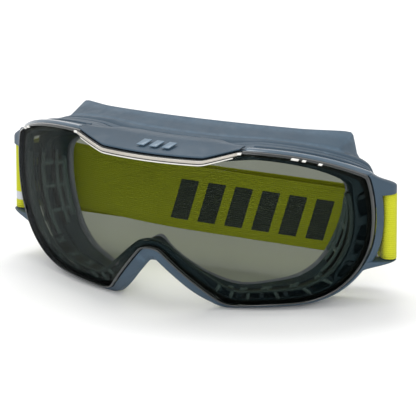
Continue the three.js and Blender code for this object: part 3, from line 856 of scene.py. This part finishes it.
def make_front_ring():
    """The ring behind the edge of the lens, with three slots at each side."""
    section = band(0.0, front_ring_reach(ALL), (0, 1.4), (0.08, 2.6))
    front_ring = apply_modifiers(ring("carrier_front_ring", section, FRAME_PLASTIC, 0.3))
    return cut(front_ring, slot_cutter(SIDE_SLOTS, 0.24, 0.66, (0.0, 0.5), (0.1, 3.2)))


fit(make_front_ring(), BODY, "frame", "carrier")
inner_rim = arc("carrier_inner_rim", 12.6, 59.4, band(0.84, 1.0, (0.0, 1.6), (0.05, 2.6)), INNER_PLASTIC, 0.3)
fit(inner_rim, BODY, "frame")
fit(ring("carrier_rear_ring", band(0.0, 0.8, (0.42, 0.4), (0.54, 0.4)), FRAME_PLASTIC), BODY, "frame")
fit(arc("carrier_roof", -12, 12, band(0.0, 0.3, (0.06, 2), (0.47, 0.6)), FRAME_PLASTIC), BODY, "frame")
for side, (a, b) in {"right": (5.2, 12.4), "left": (-12.4, -5.2)}.items():
    front_rib = band(-0.12, 0.1, (0.0, 0.6), (0.1, 0.4))
    rear_rib = band(-0.08, 0.1, (0.3, 0), (0.36, 0))
    fit(arc("roof_gloss_rib_" + side, a, b, front_rib, GLOSS_PLASTIC, 0.4), BODY, "frame")
    fit(arc("roof_rear_rib_" + side, a, b, rear_rib, FRAME_PLASTIC, 0.4), BODY, "frame")

POST_PITCH = 11.0
POST_SIZE = (1.0, 2.2, 1.0)
CATCH_STATION = 15.6


def stations_every(start, end, pitch):
    """Stations that lie one pitch apart in mm along the wall."""
    index = run(start, end, 60)
    steps = np.linalg.norm(np.diff(wall(index, 0.3, 0.3), axis=0), axis=1)
    walked = np.concatenate([[pitch / 2], steps]).cumsum()
    turns = np.floor(walked / pitch)
    return index[1:][np.diff(turns) > 0]


def make_posts():
    """Posts across the channel, which leave room for the lens catches."""
    right = stations_every(12.6, 33.6, POST_PITCH)
    right = right[np.abs(right - CATCH_STATION * FINE) > FINE]
    index = np.concatenate([right, STATIONS - right, [HALF]])
    near, far = wall(index, 0.42, 0.07, 2.0), wall(index, 0.42, 0.46, 0.6)
    inward = wall(index, 0.72, 0.25) - wall(index, 0.12, 0.25)
    stretch = lengthened(np.linalg.norm(far - near, axis=1), np.linalg.norm(inward, axis=1))
    middle = (near + far) / 2
    posts = blocks("carrier_posts", middle, far - near, inward, POST_SIZE, FRAME_PLASTIC, stretch=stretch)
    return bevel(posts, 0.4)


fit(make_posts(), BODY, "frame")


# ---- inside of the wall: ribs, hooks and the struts of the lower channel ----
def inner_rib(name, start, end, back, depth, rise):
    """A rib that stands rise mm out of the inside of the wall, with a black strip of painted shade just in
    front of it.
    """
    shape = band(0.86, 0.99 + rise * 0.12, (back, 0), (back, depth))
    # Painted shade: a strip of black rubber flush with the wall in front of the rib, for the shade of the
    # groove there.
    shade_strip = band(0.86, 1.0, (back, -1.3), (back, -0.1))
    for side, (a, b) in {"right": (start, end), "left": (AROUND - end, AROUND - start)}.items():
        fit(arc(name + "_" + side, a, b, shape, RIB_PLASTIC, 0.3), BODY, "inner_frame")
        fit(arc(name + "_painted_shade_" + side, a, b, shade_strip, GASKET_RUBBER, 0.2), BODY, "inner_frame")


inner_rib("wall_rib_front", 12.6, 21.0, 0.33, 1.4, 0.6)
inner_rib("wall_rib_middle", 12.8, 20.2, 0.62, 1.2, 0.7)
inner_rib("wall_rib_rear", 13.4, 19.4, 0.76, 1.8, 1.0)


HOOK_STATIONS = (13.9, 16.2, 18.6)
HOOK_DEPTHS = (0.46, 0.7)
HOOK_SIZE = (5.4, 1.7, 2.6)


def make_hooks():
    """Small bridges that tie the ribs of the wall together."""
    places, along, facing = [], [], []
    for station in HOOK_STATIONS:
        for back in HOOK_DEPTHS:
            index = np.array([station, AROUND - station]) * FINE
            places.extend(wall(index, 0.97, back))
            along.extend(wall(index, 0.97, back + 0.1) - wall(index, 0.97, back))
            facing.extend(wall(index, 1.2, back) - wall(index, 0.8, back))
    return bevel(blocks("wall_hooks", places, along, facing, HOOK_SIZE, RIB_PLASTIC), 0.35)


fit(make_hooks(), BODY, "inner_frame")


STRUT_STATIONS = (21.6, 23.6, 25.6, 27.6, 29.2)
STRUT_LEAN = 0.28
STRUT_SIZE = (1.0, 1.1, 2.4)


def make_struts():
    """Slanted struts across the lower channel, set in pairs like an inverted V."""
    places, along, facing, lengths = [], [], [], []
    for station in STRUT_STATIONS:
        for lean in (-STRUT_LEAN, STRUT_LEAN):
            for index in (station * FINE, (AROUND - station) * FINE):
                a = wall([index - lean * FINE], 0.86, 0.1, 2.6)[0]
                b = wall([index + lean * FINE], 0.86, 0.42)[0]
                places.append((a + b) / 2)
                along.append(b - a)
                facing.append((wall([index], 1.2, 0.25) - wall([index], 0.6, 0.25))[0])
                lengths.append(np.linalg.norm(b - a))
    stretch = lengthened(np.array(lengths))
    struts = blocks("lower_channel_struts", places, along, facing, STRUT_SIZE, RIB_PLASTIC, stretch=stretch)
    return bevel(struts, 0.3)


fit(make_struts(), BODY, "inner_frame")


BRIDGE_STATIONS = (21.2, 22.9, 24.8, 26.7, 28.6, 30.2)
BRIDGE_SIZE = (1.0, 1.5, 1.3)


def make_bridges():
    """Short bars between the outer ring and the inner rim along the bottom."""
    index = np.array(BRIDGE_STATIONS) * FINE
    index = np.concatenate([index, STATIONS - index])
    a, b = wall(index, 0.34, 0.0, 2.2), wall(index, 0.92, 0.0, 2.2)
    stretch = lengthened(np.linalg.norm(b - a, axis=1))
    middle = (a + b) / 2
    bridges = blocks("lower_rim_bridges", middle, b - a, (0, 1, 0), BRIDGE_SIZE, RIB_PLASTIC, stretch=stretch)
    return bevel(bridges, 0.3)


fit(make_bridges(), BODY, "inner_frame")

# ---- vents ----
VENT_NEAR, VENT_FAR = (0.08, 2.9), (0.42, 0.1)
MESH_ROWS = 5
MESH_WIRE = 0.55
WIRE_OVERLAP = 1.04


def vent_mesh(name, start, end, inward, node):
    """A woven screen: wires along the wall and wires across it."""
    index = run(start, end, 9)
    places, along, facing, lengths = [], [], [], []
    for row in range(MESH_ROWS):
        share = row / (MESH_ROWS - 1)
        near = VENT_NEAR[0] + (VENT_FAR[0] - VENT_NEAR[0]) * share
        more = VENT_NEAR[1] + (VENT_FAR[1] - VENT_NEAR[1]) * share
        p, step, away, length = strings(index, inward + 0.05, near, more)
        places.append(p)
        along.append(step)
        facing.append(away)
        lengths.append(length * WIRE_OVERLAP)
    near, far = wall(index, inward + 0.05, *VENT_NEAR), wall(index, inward + 0.05, *VENT_FAR)
    places.append((near + far) / 2)
    along.append(far - near)
    facing.append(wall(index, inward - 0.1, 0.25) - wall(index, inward + 0.1, 0.25))
    lengths.append(np.linalg.norm(far - near, axis=1))
    stretch = lengthened(np.concatenate(lengths))
    places, along, facing = np.vstack(places), np.vstack(along), np.vstack(facing)
    size = (1.0, MESH_WIRE, MESH_WIRE)
    return fit(blocks(name, places, along, facing, size, MESH_PLASTIC, stretch=stretch), BODY, "filter", node)


vent_mesh("vent_screen_top", -11.6, 11.6, 0.4, "vent_top")
vent_mesh("vent_screen_bottom_right", 21.4, 30.4, 0.8, "vent_bottom_right")
vent_mesh("vent_screen_bottom_left", 41.6, 50.6, 0.8, "vent_bottom_left")

VENT_PANEL_ENDS = (13, 21)
VENT_SLOTS = ((13.5, 14.9), (15.3, 16.7), (17.1, 18.5), (18.9, 20.3))


def make_vent_panel(side):
    """A panel inside the side wall with four slots through it."""

    def on_side(start, end):
        return (start, end) if side == "right" else (AROUND - end, AROUND - start)

    panel_section = band(0.8, 0.92, VENT_NEAR, VENT_FAR)
    panel = arc("side_vent_panel_" + side, *on_side(*VENT_PANEL_ENDS), panel_section, INNER_PLASTIC, 0.25)
    apply_modifiers(panel)
    slot_section = band(0.7, 1.05, (0.17, 1.5), (0.32, 0.6))
    slots = [loft(section_rows(run(*on_side(*ends)), slot_section), loop=False) for ends in VENT_SLOTS]
    return cut(panel, joined("slot cutter", slots, INNER_PLASTIC))


for side in ("right", "left"):
    fit(make_vent_panel(side), BODY, "inner_frame", "side_vent_" + side)
    fit(refined("lens_catch_" + side, "lens_catch_hook_" + side, INNER_PLASTIC, 0.6), BODY, "inner_frame")


# ---- lower band and nose bridge ----
BAND_GAP = 0.38
BAND_DEPTH = 1.3
NOSE_BAND_DEPTH = 4.0


def lower_band_section(index):
    """A slim band outside the wall that grows down under the nose notch."""
    away = np.abs(index - HALF) / FINE
    nose = smooth_step(10.0 - away, 0.0, 6.0)
    reach = BAND_GAP + BAND_DEPTH + NOSE_BAND_DEPTH * nose

    def place(mm, back, more):
        width = np.linalg.norm(wall(index, 0.0, back, more) - wall(index, 1.0, back, more), axis=1)
        return (-mm / width, back, more)

    return [
        place(BAND_GAP, 0, -1), place(BAND_GAP, 0, 0), place(BAND_GAP, 0.22, 1.4),
        place(reach * 0.8, 0.2, 1.2), place(reach * 0.95, 0.06, 0.6),
        place(reach * 0.98, 0, 0), place(reach * 0.84, 0, -1),
    ]


fit(arc("nose_and_lower_band", 19, 53, lower_band_section, FRAME_PLASTIC, 0.45), BODY, "frame", "lower_band")

# ---- brow cover ----
BROW_LIFT = -0.09
BROW_END = 5


def brow_rows(index):
    """Sections of the brow cover, which reach furthest back in the middle and taper to both ends."""
    reach = np.interp(np.abs(index / FINE), (2, 3, 4, 5), (0.54, 0.5, 0.34, 0.14))
    low = wall(index, BROW_LIFT, 0, -2.3)
    step = wall(index, BROW_LIFT, 0)
    back_low = wall(index, BROW_LIFT, reach)
    ridge = wall(index, BROW_LIFT, reach * 0.45)
    ridge[:, 2] = LENS_TOP_Z + 0.9
    back_high = back_low.copy()
    back_high[:, 2] = np.maximum(back_low[:, 2] + 1.0, 45.6)
    lip = low + (0, 0, 0.8)
    hollow = (lip + ridge) / 2 + (0, 0.15, -0.25)
    crown = (ridge + back_high) / 2 + (0, 0, 0.3)
    return np.stack([low, step, back_low, back_high, crown, ridge, hollow, lip], axis=1)


def make_brow_cover():
    """A shell over the middle of the brow, with a step behind the edge of the lens."""
    points, faces = loft(brow_rows(run(-BROW_END, BROW_END)), loop=False)
    return bevel(make_object("brow_cover_shell", points, faces, FRAME_PLASTIC), 0.55, 3)


fit(make_brow_cover(), BODY, "frame", "brow_cover")
for i in (1, 2, 3):
    fit(refined(f"brow_bar_{i}", f"brow_raised_bar_{i}", MARK_PLASTIC, 0.2), BODY, "mark")

# ---- soft seal, flap and cushion ----
SEAL_SECTION = (
    (0, 0.54, 1.0), (0.85, 0.54, 1.0), (0.9, 0.7, 0.4), (0.95, 0.88, 0),
    (0, 0.88, 0), (-0.06, 0.84, 0), (-0.05, 0.79, 0), (0.02, 0.76, 0.2),
    (0.12, 0.74, 0.2), (0.12, 0.7, 0.2), (0.02, 0.68, 0.2), (-0.04, 0.62, 0.5),
)
CUSHION_SECTION = (
    (0, 0.88, 0.9), (0.5, 0.88, 0.8), (0.95, 0.88, 0.9), (1.02, 0.91, 0.75),
    (1.03, 0.95, 0.6), (0.98, 0.985, 0.6), (0.88, 1.0, 0.7), (0.5, 1.0, 1.3),
    (0.14, 1, 0.7), (0.03, 0.98, 0.6), (-0.02, 0.94, 0.6), (-0.02, 0.91, 0.7),
)

seal = ring("face_seal_body", SEAL_SECTION, SEAL_RUBBER, 0.4)
fit(seal, BODY, "soft_seal", "face_seal")

cushion = ring("face_cushion_pad", CUSHION_SECTION, CUSHION_PAINTED_REFLECTION, 0.4)
fit(cushion, BODY, "cushion", "face_cushion")

FLAP_END = 13.0
FLAP_STEPS = 14
FLAP_TOP_Z = 46.9
FLAP_TOP_Y = 47.4
FLAP_RADIUS = 97.0
FLAP_HALF = 67.0
FLAP_END_DROP = 5.8
FLAP_TILT = 0.012
FLAP_CORNER = 65.0
# Each corner of the free edge: how far out its root is, then its own place, down the corner and out.
FLAP_ENDS = (
    (65.0, 65.6, 71.0, 41.0),
    (66.0, 66.6, 71.3, 36.5),
    (67.4, 67.6, 71.2, 32.4),
    (69.4, 69.2, 70.8, 30.8),
    (72.4, 72.2, 69.6, 29.6),
    (76.2, 76.4, 67.0, 28.4),
)


def flap_rim(root):
    """The free edge of the flap: it arches over the brow, turns down at each corner and flares out."""
    x = root[:, 0]
    away = np.abs(x)
    deeper = 2.3 * smooth_step(away, 45.0, FLAP_CORNER)
    arch = np.column_stack([
        x, FLAP_TOP_Y + x * x / (2 * FLAP_RADIUS) + deeper,
        FLAP_TOP_Z - FLAP_END_DROP * (x / FLAP_HALF) ** 2 - 0.3 * smooth_step(away, 62.0, FLAP_CORNER),
    ])
    ends = np.array(FLAP_ENDS)
    corner = np.column_stack([np.interp(away, ends[:, 0], ends[:, i]) for i in (1, 2, 3)])
    corner[:, 0] *= np.sign(x)
    rim = np.where((away < FLAP_CORNER)[:, None], arch, corner)
    rim[:, 2] += FLAP_TILT * x * (1.0 - smooth_step(away, FLAP_CORNER, 70.0))
    return rim


def flap_rows(index):
    """Sections of the flap from its root on the seal to its free edge, with a crease near the root."""
    root = wall(index, -0.06, 0.84)
    rear = wall(index, -0.06, 0.9)
    rim = flap_rim(root)
    size = np.clip((rim[:, 2] - root[:, 2]) / 14.0, 0.02, 1.0)
    crease = 0.5 + 0.5 * smooth_step(index / FINE, 1.5, 2.1)
    front = []
    for share in (0.0, 0.12, 0.2, 0.26, 0.34, 0.5, 0.75, 1.0):
        p = root + (rim - root) * share
        fold = math.exp(-(((share - 0.2) / 0.08) ** 2))
        p[:, 1] -= size * (1.1 * math.sin(math.pi * share) + 0.9 * fold * crease)
        p[:, 2] += 0.5 * size * fold * crease
        front.append(p)
    thick = np.column_stack([np.zeros_like(size), 0.5 + 0.5 * size, -0.4 - 0.6 * size])
    back = [p + thick for p in front[1:-1][::-1]]
    return np.stack([*front, rim + thick * 0.8, *back, rear], axis=1)


def make_flap():
    """The soft flap that stands up over the brow."""
    points, faces = loft(flap_rows(run(-FLAP_END, FLAP_END, FLAP_STEPS)), loop=False)
    return bevel(make_object("forehead_flap_lip", points, faces, SEAL_RUBBER), 0.3, 2, 40)


fit(make_flap(), BODY, "soft_seal", "forehead_flap")

# ---- wings, pins and strap ----
PIN = np.array([89.6, 57.3])
PIN_RADIUS = 1.5
STRAP_HEIGHT = 30.0
STRAP_THICKNESS = 1.5
STRAP_LOW_Z = -8.6
STRAP_DROP = 5.0
FRONT_LAYER_Y = 72.4
REAR_LAYER_Y = 76.0
STRAP_END_X = 77.0
STRAP_STEP = 0.8
LOOP_DIRECTION = (-0.62, 0.785)
WING_GAP = 0.3
WING_TOP_Z = 31.5
WING_LOW_Z = -19.0
ARM = ((89.2, 51.2), (92.2, 53.4), (93.2, 57), (91.4, 60.4), (84.4, 58.8))
FLUSH = ((0.7, -0.9), (1, -0.4), (1, 0.4), (0.8, 1.2))
PLATE = ((1.9, 0.6), (2.1, 1.2), (2.1, 1.9), (1.7, 2.5))


def softened(path, times=2):
    """Cuts the corners of an open path and keeps its ends."""
    for _ in range(times):
        a, b = path[:-1], path[1:]
        middle = np.empty((2 * len(a), path.shape[1]))
        middle[0::2] = a * 0.75 + b * 0.25
        middle[1::2] = a * 0.25 + b * 0.75
        path = np.vstack([path[:1], middle[1:-1], path[-1:]])
    return path


def wing_row(z, reach, plate):
    """One level of the right wing: flush with the wall at reach 0, out to the plate or to the arm at 1."""
    side = run(8, 27, 24)
    heights = wall(side, 0, 0)[:, 2]
    k = np.array([np.interp(-z, -heights, side)])
    front, edge, rear = wall(k, -0.06, 0, -1.5)[0], wall(k, -0.06, 0)[0], wall(k, -0.06, 0.3)[0]
    tail = rear + (0.4, 0, 0)
    flush = np.array([edge + (x, y, 0) for x, y in FLUSH] + [tail])
    if plate:
        out = np.array([edge + (x, y, 0) for x, y in PLATE] + [tail])
    else:
        out = np.array([(x, y, z) for x, y in ARM])
    row = softened(np.vstack([front, flush + (out - flush) * reach, rear]))
    row[:, 2] = z
    return row


def make_wing(side):
    """An arm above the strap, a plate behind it and a thin arm below."""
    top, low = STRAP_LOW_Z + STRAP_HEIGHT + WING_GAP, STRAP_LOW_Z - WING_GAP
    rows = []
    for z in np.linspace(WING_TOP_Z, top, 16):
        rows.append(wing_row(z, 1.0 - float(smooth_step(z, 24.8, WING_TOP_Z)) ** 0.9, False))
    for z in np.linspace(top - 0.05, low + 0.05, 12):
        rows.append(wing_row(z, 1.0, True))
    for z in np.linspace(low, WING_LOW_Z, 24):
        rows.append(wing_row(z, float(smooth_step(z, -13.0, -8.8)), False))
    rows = np.array(rows) * ((1, 1, 1) if side == "right" else (-1, 1, 1))
    points, faces = loft(rows, loop=False)
    return bevel(make_object("wing_fairing_" + side, points, faces, FRAME_PLASTIC), 0.45, 3, 40)


def make_pin(side):
    """A turned pin with domed ends and two fine grooves."""
    low, high = STRAP_LOW_Z - 1.2, STRAP_LOW_Z + STRAP_HEIGHT + 1.2
    end = [(0.5, 0), (1.1, 0.15), (PIN_RADIUS, 0.6), (PIN_RADIUS, 3), (1.3, 3.2), (1.3, 3.8), (PIN_RADIUS, 4)]
    profile = [(r, low + z) for r, z in end] + [(r, high - z) for r, z in reversed(end)]
    turn = np.arange(24) * math.pi / 12
    sign = 1 if side == "right" else -1
    rows = []
    for r, z in profile:
        height = np.full_like(turn, z)
        rows.append(np.column_stack([sign * PIN[0] + r * np.cos(turn), PIN[1] + r * np.sin(turn), height]))
    points, faces = loft(np.array(rows), loop=False)
    return make_object("webbing_pin_" + side, points, faces, BUCKLE_PLASTIC)


def strap_plan():
    """The closed path of the webbing seen from above, with its corners softened."""
    along = np.array(LOOP_DIRECTION) / np.linalg.norm(LOOP_DIRECTION)
    out = np.array([along[1], -along[0]])
    radius = PIN_RADIUS + 0.3 + STRAP_THICKNESS / 2
    first = math.atan2(out[1], out[0]) - math.pi
    angles = first + np.linspace(0, math.pi, 13)
    turn = list(PIN + radius * np.column_stack([np.cos(angles), np.sin(angles)]))
    right = np.array([
        (STRAP_END_X, FRONT_LAYER_Y), (80.4, 71.2), turn[0] + along * 8, *turn,
        turn[-1] + along * 9, (82.6, 75.0), (STRAP_END_X, REAR_LAYER_Y),
    ])
    corners = np.vstack([right, right[::-1] * (-1, 1)])
    path = []
    for a, b in zip(corners, np.roll(corners, -1, axis=0)):
        steps = max(1, int(np.linalg.norm(b - a) / STRAP_STEP))
        path.extend(a + (b - a) * t for t in np.arange(steps) / steps)
    return round_corners(np.array(path), 1.4)


def strap_drop(x, y):
    """How far the webbing hangs below its pins."""
    at_loop = smooth_step(np.abs(x), STRAP_END_X - 9.0, PIN[0])
    front = (5.5 + 0.011 * x) * smooth_step(x, -112.0, -14.0)
    share = smooth_step(y, FRONT_LAYER_Y, REAR_LAYER_Y)
    return (front + (STRAP_DROP - front) * share) * (1.0 - at_loop)


PRINT_START, PRINT_END = 53.0, 133.3
PRINT_LOW, PRINT_HIGH = 4.6, 23.6
PRINT_PITCH, PRINT_BAR, PRINT_SLANT = 13.2, 8.6, 0.3
PAINTED_LIT_PRINTED_LIME = webbing(
    "lime webbing painted lighter, with printed bars", PAINTED_LIT_LIME, PAINTED_LIT_PALE_LIME, PRINT_GREY,
    (PRINT_START, PRINT_END, PRINT_LOW, PRINT_HIGH, PRINT_PITCH, PRINT_BAR, PRINT_SLANT),
)
PLAIN, PRINTED, TAB = range(3)
PRINTED_ROWS = range(4, 13)
TAB_ROW = 5
TAB_START_X = -86.0


def make_strap():
    """One endless ribbon round both pins, with rounded edges, printed and painted lighter on the face towards
    the lens.
    """
    path = strap_plan()
    ahead = np.roll(path, -1, axis=0) - np.roll(path, 1, axis=0)
    ahead /= np.linalg.norm(ahead, axis=1)[:, None]
    normal = np.column_stack([ahead[:, 1], -ahead[:, 0]])
    start = int(np.argmin(np.abs(path[:, 0] + STRAP_END_X) + 10 * np.abs(path[:, 1] - FRONT_LAYER_Y)))
    path, normal = np.roll(path, -start, axis=0), np.roll(normal, -start, axis=0)
    low = STRAP_LOW_Z - strap_drop(path[:, 0], path[:, 1])
    t, r, high = STRAP_THICKNESS / 2, 0.35, STRAP_HEIGHT
    climb = np.linspace(r, high - r, 9)[1:-1]
    heights = [
        r, r * 0.3, 0, r * 0.3, r, *climb,
        high - r, high - r * 0.3, high, high - r * 0.3, high - r, *climb[::-1],
    ]
    sides = [-t, -t * 0.7, 0, t * 0.7, t, *[t] * 7, t, t * 0.7, 0, -t * 0.7, -t, *[-t] * 7]
    rows = np.stack([np.column_stack([path + normal * s, low + h]) for s, h in zip(sides, heights)], axis=1)
    points, faces = loft(rows)
    strap = make_object("strap_webbing", points, faces, [STRAP_LIME, PAINTED_LIT_PRINTED_LIME, TAB_GREY])
    length = np.concatenate([[0], np.linalg.norm(np.diff(path, axis=0), axis=1).cumsum()])
    length = np.append(length, length[-1] + np.linalg.norm(path[0] - path[-1]))
    n = len(heights)
    uv = strap.data.uv_layers.new(name="weave")
    inside = np.abs(path[:, 1] - FRONT_LAYER_Y) < 0.4
    for face in strap.data.polygons:
        i = face.index // n
        row = face.index % n
        # The front layer's face towards the lens takes the printed webbing that is painted lighter, as painted
        # light.
        face.material_index = PRINTED if inside[i] and row in PRINTED_ROWS else PLAIN
        if path[i][0] < TAB_START_X and row == TAB_ROW:
            face.material_index = TAB
        for corner in face.loop_indices:
            v = strap.data.loops[corner].vertex_index
            wraps = v // n == 0 and i == len(path) - 1
            uv.data[corner].uv = (length[len(path) if wraps else v // n] / 10, heights[v % n] / 10)
    return strap


strap = make_strap()
fit(strap, BODY, "webbing", "strap_front", "strap_rear", "strap_loop_right", "strap_loop_left")
for side in ("right", "left"):
    fit(make_wing(side), BODY, "frame", "wing_" + side)
    fit(make_pin(side), BODY, "pin", "strap_pin_" + side)

STITCH_PITCH = 2.3
STITCH_ROWS = (
    (REAR_LAYER_Y, 1, (-73.0, -70.5, 45.0, 47.5)),
    (FRONT_LAYER_Y, -1, (-72.0, -69.5, 64.0, 66.5)),
)


def make_stitches():
    """Rows of sewing across the webbing where its ends are joined, on the back and the front layers."""
    places, facing = [], []
    for layer, out, columns in STITCH_ROWS:
        for x in columns:
            low = STRAP_LOW_Z - float(strap_drop(np.array(x), np.array(layer)))
            for z in np.arange(1.8, STRAP_HEIGHT - 1.2, STITCH_PITCH):
                places.append((x, layer + out * STRAP_THICKNESS / 2, low + z))
                facing.append((0, out, 0))
    return blocks("strap_stitches", places, (0, 0, 1), facing, (2.0, 0.7, 0.5), THREAD, roundness=2)


fit(make_stitches(), BODY, "webbing")
fit(refined("adjuster", "strap_adjuster", BUCKLE_PLASTIC, 0.35), ADJUSTER_BODY, "buckle")


# ---- floor, light and camera ----
FLOOR_HALF = 6.0
FLOOR_Z = -0.0003


def make_floor():
    """A wide pale floor, a hair below what the goggles rest on."""
    f = Finish("pale floor")
    f.link(f.spread(f.noise(2.0), 0.86, 0.94), f.surface.inputs["Roughness"])
    f.link(f.ramp(f.noise(3.0), [(0.3, (0.88, 0.88, 0.88, 1)), (0.7, (0.92, 0.92, 0.92, 1))]),
           f.surface.inputs["Base Color"])
    mesh = bpy.data.meshes.new("floor")
    corners = [(x * FLOOR_HALF, y * FLOOR_HALF, FLOOR_Z) for x, y in ((-1, -1), (1, -1), (1, 1), (-1, 1))]
    mesh.from_pydata(corners, [], [(0, 1, 2, 3)])
    mesh.materials.append(f.material)
    link(bpy.data.objects.new("floor", mesh))


def soft_light(name, place, target, size, power):
    """A rectangular lamp at a place, turned to a target, in metres and watts."""
    data = bpy.data.lights.new(name, "AREA")
    data.shape = "RECTANGLE"
    data.size, data.size_y = size
    data.energy = power
    light = link(bpy.data.objects.new(name, data))
    light.location = place
    light.rotation_euler = (Vector(target) - Vector(place)).to_track_quat("-Z", "Y").to_euler()


make_floor()
world = bpy.data.worlds.new("studio")
world.use_nodes = True
world.node_tree.nodes["Background"].inputs["Color"].default_value = (1.0, 1.0, 1.0, 1.0)
world.node_tree.nodes["Background"].inputs["Strength"].default_value = 1.0
bpy.context.scene.world = world
bpy.context.scene.view_settings.view_transform = "Standard"
soft_light("key", (0.5, -1.4, 0.6), (0, 0, 0.04), (0.6, 0.6), 8.0)
soft_light("top", (-0.3, 0.3, 1.1), (0, 0, 0.04), (0.6, 0.4), 4.0)

AZIMUTH = math.radians(25.0)
ELEVATION = math.radians(17.5)
DISTANCE = 2500.0
VIEW_WIDTH = 180.9
AIM_RIGHT, AIM_UP = 25.9, 17.8


def make_camera():
    """A long lens aimed a little right of and above the nose notch."""
    right = np.array([math.cos(AZIMUTH), math.sin(AZIMUTH), 0.0])
    level = math.cos(ELEVATION)
    toward = np.array([math.sin(AZIMUTH) * level, -math.cos(AZIMUTH) * level, math.sin(ELEVATION)])
    up = np.cross(toward, right)
    notch = np.array([0.0, lens_y(0.0, 0.0), 0.0]) + SHIFT
    aim = notch + right * AIM_RIGHT + up * AIM_UP
    data = bpy.data.cameras.new("camera")
    data.lens = DISTANCE * data.sensor_width / VIEW_WIDTH
    data.clip_end = 50.0
    camera = link(bpy.data.objects.new("camera", data))
    camera.location = Vector((aim + toward * DISTANCE) * MM)
    camera.rotation_euler = Vector(-toward).to_track_quat("-Z", "Y").to_euler()
    bpy.context.scene.camera = camera


make_camera()
